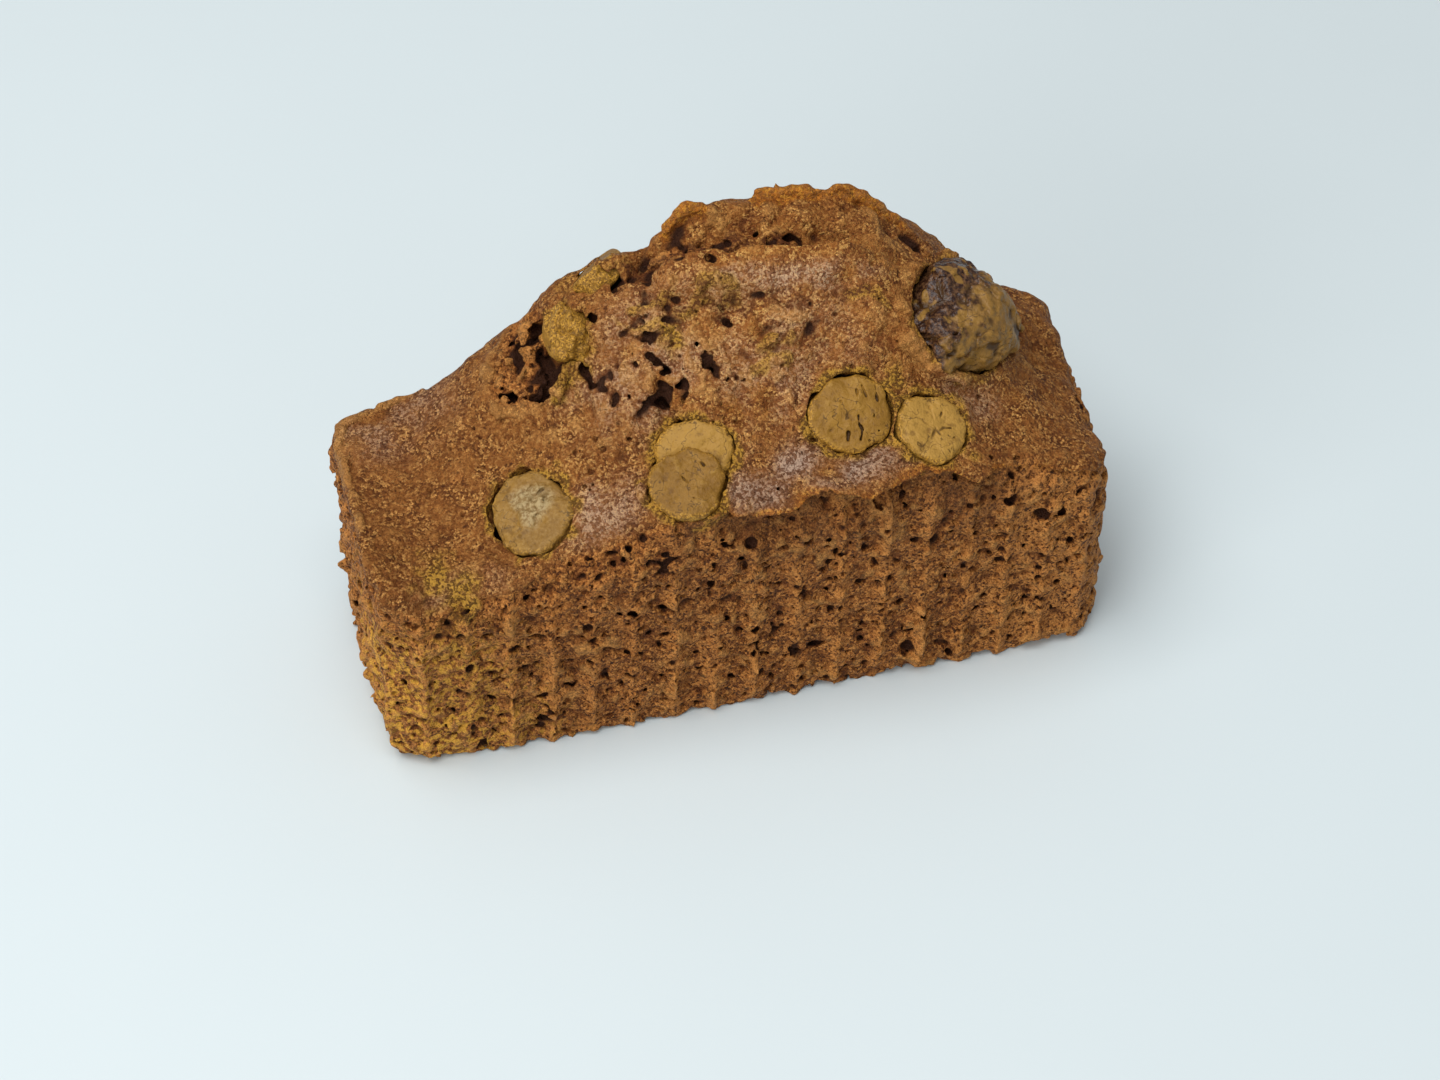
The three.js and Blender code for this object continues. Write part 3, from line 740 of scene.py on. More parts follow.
def sculpt_loaf(settings):
    """The loaf's field with all its detail, the smooth field under it, and the masks its material reads."""
    low = (-HALF_LENGTH - ROOM_ROUND, -FRONT_REACH - ROOM_ROUND, -ROOM_BELOW)
    high = (HALF_LENGTH + ROOM_ROUND, HALF_WIDTH + BACK_BULGE + ROOM_ROUND, BLOCK_TOP)
    block = Block(low, high, settings.step)
    y, z = block.y, block.z
    seed = settings.seed

    def along(stations):
        return curve_at(stations, block.lines[0])[:, None, None].astype(np.float32)

    def over(plan):
        return plan[:, :, None].astype(np.float32)

    plan_x, plan_y = np.meshgrid(block.lines[0], block.lines[1], indexing="ij")
    height = crust_height(plan_x, plan_y)
    slope_x, slope_y = np.gradient(height, settings.step)
    steepness = np.sqrt(1 + slope_x**2 + slope_y**2)
    top = (z - over(height)) / over(steepness)
    rough_skin = over(spread(ROUGH, plan_x, plan_y))
    torn = over(spread(TORN, plan_x, plan_y))

    wall, place = loaf_walls(block)
    rim = along(RIM)
    share = over(dome_share(plan_x))
    at_front = ramp(-y, *FRONT_BAND)
    at_back = ramp(y, *BACK_BAND)

    # noises that are used more than once
    broad = block.noise(9.0, seed)
    middle = block.noise(3.2, seed + 1)
    small = block.noise(1.5, seed + 2)
    fine = block.noise(0.8, seed + 3)

    # the crust hangs over the front wall as a lip, over a hollow, and swells over the back wall
    lip_edge = along(LIP_EDGE) + 0.35 * middle + 0.25 * small
    under_lip = ramp(lip_edge - z, -0.5, 0.5)
    lip = along(LIP) * at_front
    bulge = BACK_BULGE * share * ramp(z + 1.5 * broad, *BULGE_LEVELS) * at_back
    wall = wall - lip * (1.0 + 0.25 * middle) * (1 - under_lip) - bulge
    wall = wall + 0.9 * lip * under_lip * ramp(z, lip_edge - LIP_HOLLOW, lip_edge - 1.0)

    # where open crumb shows: below the crust's edge all round, on the base, and where the crust is torn
    wavy_rim = rim - 1.2 + 1.5 * at_back * share + 0.8 * middle + 0.6 * small
    crust_edge = at_front * lip_edge + (1 - at_front) * wavy_rim
    crumb = ramp(crust_edge - z, -0.4, 0.6) * ramp(wall, -7.0, -4.0)
    crumb = np.maximum(crumb, ramp(1.5 - z, 0.0, 1.0))
    crumb = np.maximum(crumb, ramp(torn + 0.12 * middle, 0.25, 0.55) * (z > rim)).astype(np.float32)

    pleats, ridge, rib_dry_and_lit = pleat_ridges(block, settings, place, rim, small)
    wall = wall - pleats
    edge_width = along(EDGE_WIDTH) * at_front + 2.2 * (1 - at_front) + 5.0 * share * at_back
    field = soft_max(top, wall, edge_width)

    # the base is flat, chips away a little round its edge, and its front left corner is worn round
    chipped = np.maximum(0.4 + 0.6 * small + 0.6 * middle - 0.4 * ridge, 0.0)
    worn = 0.8 + 3.6 * ramp(-block.x - y, *WORN_CORNER)
    field = soft_max(field, -z + chipped * ramp(wall, -2.5, 0.0), worn).astype(np.float32)
    below_lip = ramp(z - lip_edge + 2.2 * middle, -14.0, -1.0)
    volumes = {
        "crumb": crumb,
        # painted highlight on the ridges, partly drier crumb
        "rib_dry_and_lit": (rib_dry_and_lit * crumb).astype(np.float32),
        # painted shade in the flutes, partly moist crumb
        "flute_moist_and_shade": ((1 - ridge) ** 2 * crumb).astype(np.float32),
        # painted shade under the lip, partly moist crumb
        "moist_and_shade": (under_lip * at_front * ramp(along(LIP), 0.5, 1.2) * below_lip).astype(np.float32),
    }

    # waves, creases and grain: gentle on the crust, stronger where it is rough, and ragged on the crumb
    crust = 1 - crumb
    crease = np.clip(1.0 - 3.0 * np.abs(block.noise(3.4, seed + 6)), 0.0, 1.0) ** 2
    field -= (0.45 * broad + 0.24 * middle * (1.0 + 0.6 * rough_skin)) * crust + 0.12 * middle * crumb
    smooth = field.copy()
    field += 0.32 * crease * (0.25 + rough_skin) * crust
    field -= (0.10 * small + 0.06 * fine) * (1.0 + 2.2 * rough_skin) * crust
    field -= (0.17 * small + 0.19 * fine) * crumb * (1.0 + 0.8 * torn)
    wrinkles = block.noise(0.8, seed + 7, (6.0, 1.0, 1.0))
    field -= 0.10 * wrinkles * crust * at_front * ramp(-block.x, 12.0, 24.0)

    rough = 0.30 * small + 0.20 * fine
    carve_crust(block, field, rough)
    carve_sockets(block, field, rough)
    carve_holes(block, field, settings)
    guard = 1.7 * crust - 0.55 * rough_skin * crust
    block.sponge(field, 1.00, 1.85 + guard, seed + 8, 2.2)
    block.sponge(field, 0.66, 1.42 + guard, seed + 9, 1.5, soft=0.08)
    np.maximum(field, -z, out=field)
    return block, field, smooth, volumes


def carve_holes(block, field, settings):
    """Round holes in the walls and the base, and pinholes in the crust."""
    rng = np.random.default_rng(settings.seed + 20)
    front, back = -HALF_WIDTH - FORWARD_SHIFT, HALF_WIDTH - FORWARD_SHIFT

    def hole(centre, radius, least, most, soft):
        radii = radius * rng.uniform(least, most, 3)
        block.carve_ball(field, np.array(centre), radii, soft=soft)

    for x, z, radius in WALL_HOLES:
        hole([x, front + 0.3 * radius, z], radius, 0.8, 1.25, 0.3)
    for _ in range(settings.holes):
        radius = rng.uniform(*HOLE_RADII)
        places = [
            (rng.uniform(*HOLES_ALONG), front + 0.3, rng.uniform(*HOLES_UP)),
            (rng.uniform(*HOLES_ALONG), back - 0.3, rng.uniform(*HOLES_UP)),
            (rng.uniform(*HOLES_ALONG), rng.uniform(*HOLES_ACROSS), 0.2),
        ]
        for centre in places:
            hole(centre, radius, 0.7, 1.4, 0.2)
        end = rng.choice([-1.0, 1.0]) * (HALF_LENGTH - 0.3)
        hole([end, rng.uniform(*END_HOLES_ACROSS), rng.uniform(*END_HOLES_UP)], radius, 0.7, 1.4, 0.2)
    for x, y, radius in PINHOLES:
        block.carve_ball(field, on_crust(x, y) - 0.2 * crust_normal(x, y), np.full(3, radius), soft=0.2)
    for _ in range(RANDOM_PINHOLES):
        x, y = (rng.normal(middle, deviation) for middle, deviation in PINHOLE_SPREAD)
        radius = rng.uniform(0.22, 0.5)
        if abs(x) < HALF_LENGTH - PINHOLES_OFF_END and PINHOLES_ACROSS[0] < y < PINHOLES_ACROSS[1]:
            hole(on_crust(x, y) - 0.1 * crust_normal(x, y), radius, 0.7, 1.5, 0.25)


# grooves under the roll and the step: edge, shift from it, lift, stretches along it, points in a stretch,
# least radius, raggedness and softness
EDGE_GROOVES = [
    (ROLL_EDGE, -0.7, 0.2, ((-9.0, -2.0), (3.0, 12.0), (16.0, 24.0)), 8, 0.2, 1.3, 0.2),
    (STEP_EDGE, 0.9, 0.1, ((-11.0, -3.0), (-1.0, 8.0), (10.0, 24.0)), 9, 0.15, 1.5, 0.3),
]
# a flap is built of three layers: depth below its edge, share of its radius, raggedness
FLAP_LAYERS = [(2.2, 1.2, 0.2), (1.1, 1.0, 0.4), (0.0, 0.9, 0.75)]


def carve_crust(block, field, rough):
    """Flaps, folds, the ledge, the crater and the cracks of the crust."""
    for path in (CROWN_FLAP, SMALL_FLAP, END_CURL):
        for below, width, ragged in FLAP_LAYERS:
            points = [on_crust(x, y, lift - below) for x, y, lift, _ in path]
            block.add_path(field, points, widths(path, width), ragged * rough, soft=0.5)
    for path in (CROWN_FLAP[1:-1], SMALL_FLAP[1:-1]):
        block.carve_path(field, trace(path, 0.1, -1.7), [0.8] * len(path), 1.2 * rough, soft=0.3)
    for fold in FOLDS:
        block.add_path(field, trace(fold, -0.25), widths(fold), 0.6 * rough, soft=1.2)
        block.carve_path(field, trace(fold, 0.25, -1.0), widths(fold, 0.5), 0.6 * rough, soft=0.5)
    for edge, shift, lift, stretches, count, least, ragged, soft in EDGE_GROOVES:
        swell = 0.55 * np.sin(np.linspace(0, math.pi, count))
        for first, last in stretches:
            line = [(x, float(curve_at(edge, x)) + shift) for x in np.linspace(first, last, count)]
            block.carve_path(field, trace(line, lift), least + swell, ragged * rough, soft=soft)
    block.carve_path(field, trace(LEDGE, 0.1), widths(LEDGE), rough, soft=0.5)
    carve_crater(block, field, rough)
    carve_fissures(block, field, rough)
    for crack in CRACKS:
        for depth in (0.0, 1.0):
            points = [on_crust(x, y) - depth * CRACK_DEPTH * crust_normal(x, y) for x, y, _ in crack]
            narrower = 1.0 - 0.25 * depth
            block.carve_path(field, points, widths(crack, 0.8 * narrower), 1.5 * rough, soft=0.15)


def carve_fissures(block, field, rough):
    """Short random splits wherever the crust is rough."""
    rng = np.random.default_rng(FISSURE_SEED)
    for _ in range(FISSURES):
        x, y = (rng.normal(middle, deviation) for middle, deviation in FISSURE_SPREAD)
        turn = rng.uniform(0, 2 * math.pi)
        if spread(ROUGH, x, y) < ROUGH_ENOUGH:
            continue
        fissure = []
        for _ in range(rng.integers(3, 6)):
            fissure.append(on_crust(x, y))
            turn += rng.normal(0.0, 0.7)
            x, y = x + FISSURE_STEP * math.cos(turn), y + FISSURE_STEP * math.sin(turn)
        radii = np.linspace(rng.uniform(0.15, 0.36), 0.1, len(fissure))
        block.carve_path(field, fissure, radii, rough, soft=0.15)


def carve_crater(block, field, rough):
    """The torn hollow: a shallow bowl with lumps of crumb, dark holes and a raised rim of skin."""
    (x, y), radii = CRATER
    block.carve_ball(field, on_crust(x, y, 0.9), radii, soft=0.8)
    for x, y, radius in CRATER_LUMPS:
        spot = on_crust(x, y, -1.5)
        block.add_path(field, [spot, spot + 0.1], [radius, radius], 2.4 * rough, soft=0.4)
    for x, y, radius in CRATER_HOLES:
        points = [on_crust(x, y, -1.2), on_crust(x, y, -2.6)]
        block.carve_path(field, points, [radius, 0.8 * radius], 1.6 * rough, soft=0.3)
    block.add_path(field, trace(CRATER_RIM), widths(CRATER_RIM, 0.65), 1.5 * rough, soft=1.0)


SOCKET_GAP = 0.05           # air round a piece of chocolate
SHRUNK_GAP = 0.10           # and how much more of it the crumb has left on one side of a drop
# the raised edges: how far they reach out from the piece
LUMP_EDGE = 1.5
DROP_EDGE = 0.9
# the collars: how far below a drop's top they cut, and how steeply the cut rises beyond the drop
TUCKED_COLLAR = (1.1, 1.3)
DROP_COLLAR = (0.3, 0.45)


def carve_sockets(block, field, rough):
    """A hollow for every piece of chocolate, most of them with a thin raised edge round it."""
    for work in (raise_edge, draw_collar, cut_hollow):
        for node in CHOCOLATE_NODES:
            seat = Seat(node)
            reach = seat.radius + 5.0
            cut, x, y, z = block.window(seat.middle - reach, seat.middle + reach)
            work(field, cut, seat, seat.local(x, y, z), rough[cut])


def raise_edge(field, cut, seat, places, rough):
    """A thin raised edge of crust round a piece."""
    if seat.node not in RIMMED_DROPS + [LUMP_NODE]:
        return
    u, v, w = places
    if seat.node == LUMP_NODE:
        width, level = LUMP_EDGE, w - 0.4
    else:
        width, level = DROP_EDGE, w - seat.half_height + 0.8 + 0.8 * ramp(-v, 0.0, seat.radius)
    edge = soft_max(chocolate_shape(u, v, w, seat) - width, level, 0.8)
    field[cut] = soft_min(field[cut], edge + 1.2 * rough, 1.4)


def draw_collar(field, cut, seat, places, rough):
    """Crust that would lie over a drop is drawn down to its face."""
    if seat.node not in RIMMED_DROPS + [TUCKED]:
        return
    u, v, w = places
    depth, slope = TUCKED_COLLAR if seat.node == TUCKED else DROP_COLLAR
    collar = w - seat.half_height + depth + 0.9 * ramp(-v, 0.0, seat.radius)
    beyond = np.maximum(oval_distance(u, v, seat) - seat.radius, 0.0)
    collar = collar - slope * beyond - 1.2 * np.maximum(beyond - 2.0, 0.0)
    field[cut] = soft_max(field[cut], 0.9 * collar + 0.5 * rough, 0.8)


def cut_hollow(field, cut, seat, places, rough):
    """The socket itself; the crumb has drawn back on the uphill left side of a drop."""
    u, v, w = places
    shrunk = SHRUNK_GAP * ramp(0.7 * v - 0.7 * u, 1.0, 6.0) if seat.node != LUMP_NODE else 0.0
    away = chocolate_shape(u, v, w, seat) - SOCKET_GAP - shrunk + 0.7 * rough
    field[cut] = soft_max(field[cut], -away, 0.25)


# ---- Materials ----
# a colour mix node carries its two colours and its result in these sockets
MIX_FIRST, MIX_SECOND, MIX_RESULT = 6, 7, 2


class Shader:
    """A node material under construction."""

    def __init__(self, name):
        self.material = bpy.data.materials.new(name)
        self.material.use_nodes = True
        self.nodes = self.material.node_tree.nodes
        self.links = self.material.node_tree.links
        self.surface = self.nodes["Principled BSDF"]
        self.place = self.nodes.new("ShaderNodeTexCoord").outputs["Object"]

    def value(self, socket, source):
        """Sets a socket to a number or colour, or links another socket to it."""
        if isinstance(source, bpy.types.NodeSocket):
            self.links.new(source, socket)
        else:
            socket.default_value = source

    def node(self, kind, sockets, **settings):
        """Adds a node with its settings and sockets, and gives its outputs."""
        node = self.nodes.new(kind)
        for name, setting in settings.items():
            setattr(node, name, setting)
        for name, source in sockets.items():
            self.value(node.inputs[name], source)
        return node.outputs

    def noise(self, size, detail, roughness, distortion=0.0):
        """Smooth noise with lumps of about the given size in millimetres."""
        sockets = {"Vector": self.place, "Scale": 1.0 / (size * MM), "Detail": detail}
        sockets |= {"Roughness": roughness, "Distortion": distortion}
        return self.node("ShaderNodeTexNoise", sockets)["Fac"]

    def cells(self, size, feature):
        """The outputs of a pattern of cells of about the given size in millimetres."""
        sockets = {"Vector": self.place, "Scale": 1.0 / (size * MM)}
        return self.node("ShaderNodeTexVoronoi", sockets, feature=feature)

    def cell_edges(self, size):
        """Distance from the edges between cells."""
        return self.cells(size, "DISTANCE_TO_EDGE")["Distance"]

    def grains(self, size):
        """A random value for each grain, and the distance from its middle."""
        cells = self.cells(size, "F1")
        split = self.node("ShaderNodeSeparateColor", {"Color": cells["Color"]})
        return split["Red"], cells["Distance"]

    def mask(self, name):
        """A number that the mesh carries for each vertex."""
        return self.node("ShaderNodeAttribute", {}, attribute_name=name)["Fac"]

    def span(self, value, low, high, to_low=0.0, to_high=1.0):
        """Maps a stretch of values onto another, smoothly, and holds it there."""
        sockets = {"Value": value, "From Min": low, "From Max": high, "To Min": to_low, "To Max": to_high}
        return self.node("ShaderNodeMapRange", sockets, interpolation_type="SMOOTHSTEP")["Result"]

    def math(self, kind, first, second=0.5):
        """Two numbers or sockets, joined by the given operation."""
        return self.node("ShaderNodeMath", {0: first, 1: second}, operation=kind)["Value"]

    def times(self, first, second):
        """The product of two numbers or sockets."""
        return self.math("MULTIPLY", first, second)

    def mix(self, share, first, second, blend="MIX"):
        """Mixes two colours."""
        sockets = {"Factor": share, MIX_FIRST: first, MIX_SECOND: second}
        return self.node("ShaderNodeMix", sockets, data_type="RGBA", blend_type=blend)[MIX_RESULT]

    def tint(self, under, share, colour, blend="MIX"):
        """Lays one plain colour over another by a share."""
        return self.mix(share, under, (*colour, 1.0), blend)

    def grade(self, value, low, high, first, second):
        """Goes from one plain colour to another while a value goes from low to high."""
        return self.mix(self.span(value, low, high), (*first, 1.0), (*second, 1.0))

    def relief(self, *layers):
        """Fine bumps on the surface: each layer is a height, its depth in millimetres and its strength."""
        under = {}
        for height, depth, strength in layers:
            sockets = {"Strength": strength, "Distance": depth * MM, "Height": height}
            under = {"Normal": self.node("ShaderNodeBump", sockets | under)["Normal"]}
        self.links.new(under["Normal"], self.surface.inputs["Normal"])


def crust_colour(shader, colours, patch, grain, tone, pit_shade):
    """Baked crust: patches, grain, pale specks partly painted as glints, dark specks, painted shade in fine
    seams between grains, bloom with painted sheen, and painted pits of shade.
    """
    busy = shader.span(shader.noise(3.0, 3.0, 0.6), 0.42, 0.60, 0.30, 1.0)
    # painted shade in the seams between grains
    seam_shade = shader.span(shader.cell_edges(0.62), 0.16, 0.02)
    pale_specks_and_glints = shader.times(shader.span(tone, 0.52, 0.64), busy)
    dark_specks = shader.times(shader.span(tone, 0.48, 0.36, 0.0, 0.8), busy)
    seam_shades = shader.times(shader.times(seam_shade, busy), 0.45)
    bloom_and_sheen_colour = shader.grade(tone, 0.42, 0.60, colours.bloom_and_sheen_dark, colours.bloom_and_sheen)

    crust = shader.grade(patch, 0.38, 0.62, colours.crust_dark, colours.crust)
    crust = shader.tint(crust, shader.span(grain, 0.47, 0.68), colours.crust_light)
    # pale specks: grain of the crust, partly painted glints
    crust = shader.tint(crust, pale_specks_and_glints, colours.crust_speck_and_highlight)
    crust = shader.tint(crust, dark_specks, colours.crust_shadow)
    crust = shader.tint(crust, seam_shades, colours.crust_shadow)
    # pale bloom, partly a painted sheen of light on the glossy crust
    crust = shader.mix(shader.times(shader.mask("bloom_and_sheen"), 0.9), crust, bloom_and_sheen_colour)
    # painted pits: small dark spots of painted shade
    crust = shader.tint(crust, shader.times(pit_shade, 0.75), colours.crust_shadow)
    # painted light on the dome, over a lighter crust
    return shader.tint(crust, shader.mask("dome_tint_and_light"), colours.dome_tint_and_light, "SOFT_LIGHT")


def crumb_colour(shader, colours, patch, grain, tone, pit_shade):
    """Open crumb: patches, grain, flutes and the crumb under the lip darker as moist crumb and painted shade,
    ribs lighter as drier crumb and painted highlight, specks, painted pits and golden clusters.
    """
    rib_dry_and_lit = shader.mask("rib_dry_and_lit")
    dark_specks = shader.times(shader.span(tone, 0.48, 0.36, 0.0, 0.95), shader.span(rib_dry_and_lit, 0.4, 1.0, 1.0, 0.5))
    clusters = shader.span(shader.noise(1.1, 3.0, 0.6), 0.46, 0.60, 0.0, 0.8)

    crumb = shader.grade(patch, 0.38, 0.62, colours.crumb_dark, colours.crumb)
    for share, colour in (
        (shader.span(grain, 0.50, 0.70, 0.0, 0.6), colours.crumb_light),
        # painted shade in the flutes, partly moist crumb
        (shader.times(shader.mask("flute_moist_and_shade"), 0.48), colours.moist_and_shade),
        # painted highlight on the ridges, partly drier crumb
        (shader.times(rib_dry_and_lit, 0.85), colours.crumb_light),
        (shader.span(tone, 0.53, 0.67, 0.0, 0.8), colours.crumb_light),
        (dark_specks, colours.crumb_shadow),
        # painted pits: dark spots of painted shade and moist crumb
        (shader.times(pit_shade, 0.9), colours.pore_moist_and_shade),
        # painted shade under the lip, partly moist crumb
        (shader.times(shader.mask("moist_and_shade"), 0.54), colours.moist_and_shade),
        (shader.times(shader.mask("golden"), clusters), colours.golden),
    ):
        crumb = shader.tint(crumb, share, colour)
    return crumb


def cake_material(colours):
    """Crust and open crumb in one material: the masks say which is where."""
    shader = Shader("baked_chocolate_cake")
    relief = shader.mask("relief")
    bloom_and_sheen = shader.mask("bloom_and_sheen")
    speck = shader.noise(0.31, 3.0, 0.7)
    grain = shader.noise(1.0, 4.0, 0.65)
    patch = shader.noise(5.0, 3.0, 0.6)
    tone, hump = shader.grains(0.44)
    tone = shader.math("ADD", shader.times(tone, 0.30), shader.times(speck, 0.70))
    # painted pits: spots of painted shade where no hole is carved
    pit_shade = shader.span(shader.noise(0.95, 2.0, 0.5), 0.355, 0.30)
    crust = crust_colour(shader, colours, patch, grain, tone, pit_shade)
    crumb = crumb_colour(shader, colours, patch, grain, tone, pit_shade)
    colour = shader.mix(shader.mask("crumb"), crust, crumb)

    # painted highlight: raised places above the smooth surface are lightened
    colour = shader.tint(colour, shader.span(relief, 0.10, 0.55, 0.0, 0.35), colours.crust_speck_and_highlight)
    toasted = shader.times(shader.mask("toast"), shader.span(tone, 0.38, 0.58, 0.35, 1.0))
    redness = shader.span(grain, 0.42, 0.60, 0.35, 1.0)
    baked = shader.mix(redness, (*colours.red_crumb, 1.0), (*colours.toast, 1.0))
    baked = shader.tint(baked, shader.span(tone, 0.54, 0.66, 0.0, 0.7), colours.toast_light)
    colour = shader.mix(toasted, colour, baked)
    stained = shader.times(shader.mask("stain"), shader.span(grain, 0.34, 0.52, 0.5, 1.0))
    colour = shader.mix(stained, colour, shader.grade(tone, 0.44, 0.56, colours.olive, colours.stain))
    # painted shade, partly moist crumb, along the folds of the dome
    sunken = shader.times(shader.mask("crevice_shade_and_moist"), shader.span(tone, 0.60, 0.42, 0.45, 1.0))
    colour = shader.tint(colour, shader.times(sunken, 0.85), colours.crevice_shade_and_moist)
    # painted shade, partly moist crumb: places below the smooth surface turn to red crumb, deeper ones almost
    # black
    colour = shader.tint(colour, shader.span(relief, -0.15, -0.55, 0.0, 0.55), colours.red_crumb)
    colour = shader.tint(colour, shader.span(relief, -0.35, -0.85, 0.0, 0.95), colours.pore_moist_and_shade)

    shader.value(shader.surface.inputs["Base Color"], colour)
    shader.value(shader.surface.inputs["Roughness"], shader.span(bloom_and_sheen, 0.0, 1.0, 0.62, 0.48))
    shader.surface.inputs["Specular IOR Level"].default_value = 0.17
    shader.relief((grain, 0.70, 1.0), (speck, 0.50, 1.0), (shader.math("SUBTRACT", 1.0, hump), 0.22, 1.0))
    return shader.material


def chocolate_material(name, colours, roughness, specular, mottle):
    """Set milk chocolate, dried by the oven: wrinkled, finely cracked, crumbs round its edge, painted shade
    in its recesses.
    """
    shader = Shader(name)
    dark = shader.mask("dark")
    patch = shader.noise(3.5, 3.0, 0.5)
    grain = shader.noise(0.55, 3.0, 0.6)
    fine = shader.noise(0.30, 2.0, 0.6)
    blotch = shader.noise(1.9, 3.0, 0.6)
    bend = shader.noise(2.2, 2.0, 0.5, 0.6)
    hairline = shader.span(shader.math("ABSOLUTE", shader.math("SUBTRACT", bend, 0.5)), 0.022, 0.006)
    split = shader.times(hairline, shader.span(patch, 0.48, 0.56))
    crumbs = shader.times(shader.mask("edge"), shader.span(grain, 0.40, 0.56, 0.2, 0.95))

    colour = shader.grade(patch, 0.35, 0.65, colours.drop, colours.drop_light)
    for share, tone in (
        (shader.mask("pale"), colours.drop_pale),
        (shader.span(blotch, 0.44, 0.32, 0.0, 0.55 * mottle), colours.drop_dark),
        (shader.span(blotch, 0.56, 0.70, 0.0, 0.45 * mottle), colours.drop_pale),
        (shader.span(grain, 0.55, 0.75, 0.0, 0.30), colours.drop_pale),
        (shader.span(grain, 0.42, 0.28, 0.0, 0.45), colours.drop_dark),
    ):
        colour = shader.tint(colour, share, tone)
    colour = shader.mix(crumbs, colour, shader.grade(fine, 0.42, 0.58, colours.olive, colours.stain))
    colour = shader.tint(colour, shader.times(split, 0.7), colours.slit)
    ashen = shader.grade(grain, 0.42, 0.60, colours.ash_dark, colours.ash)
    colour = shader.mix(shader.mask("ash"), colour, ashen)
    colour = shader.mix(dark, colour, shader.grade(grain, 0.40, 0.66, colours.melt, colours.melt_light))
    # painted shade: places below the smooth face are darkened
    sunken = shader.span(shader.mask("relief"), -0.15, -0.45, 0.0, 0.9)
    colour = shader.tint(colour, sunken, colours.slit)

    shader.value(shader.surface.inputs["Base Color"], colour)
    shader.value(shader.surface.inputs["Roughness"], shader.span(dark, 0.0, 1.0, roughness, 0.24))
    shader.surface.inputs["Specular IOR Level"].default_value = specular
    shader.relief((blotch, 0.60, 0.8), (grain, 0.16, 0.6), (fine, 0.10, 0.6))
    return shader.material


def floor_material(colour):
    """A plain floor with faint broad patches."""
    shader = Shader("pale_floor")
    patch = shader.noise(60.0, 2.0, 0.5)
    lighter = tuple(min(channel * 1.03, 1.0) for channel in colour)
    tone = shader.mix(patch, (*colour, 1.0), (*lighter, 1.0))
    shader.value(shader.surface.inputs["Base Color"], tone)
    shader.surface.inputs["Roughness"].default_value = 0.55
    return shader.material


# ---- Settings that a user would change ----
def colour_setting(name, description, default):
    return FloatVectorProperty(
        name=name, description=description, default=default, size=3, min=0.0, max=1.0, subtype="COLOR"
    )


class LoafSettings(PropertyGroup):
    step: FloatProperty(
        name="Sculpting step",
        description="Distance between sculpted points, in millimetres",
        default=0.30,
        min=0.2,
    )
    seed: IntProperty(name="Seed", description="Seed of the loaf's noise and holes", default=11, min=0)
    pleat_pitch: FloatProperty(
        name="Pleat pitch",
        description="Distance between the liner's pleats, in millimetres",
        default=6.85,
        min=2.0,
    )
    pleat_depth: FloatProperty(
        name="Pleat depth",
        description="Height of the ridges that the pleats leave, in millimetres",
        default=1.45,
        min=0.0,
    )
    holes: IntProperty(
        name="Holes",
        description="Random holes in each long wall, in the base and in the two ends together",
        default=150,
        min=0,
    )


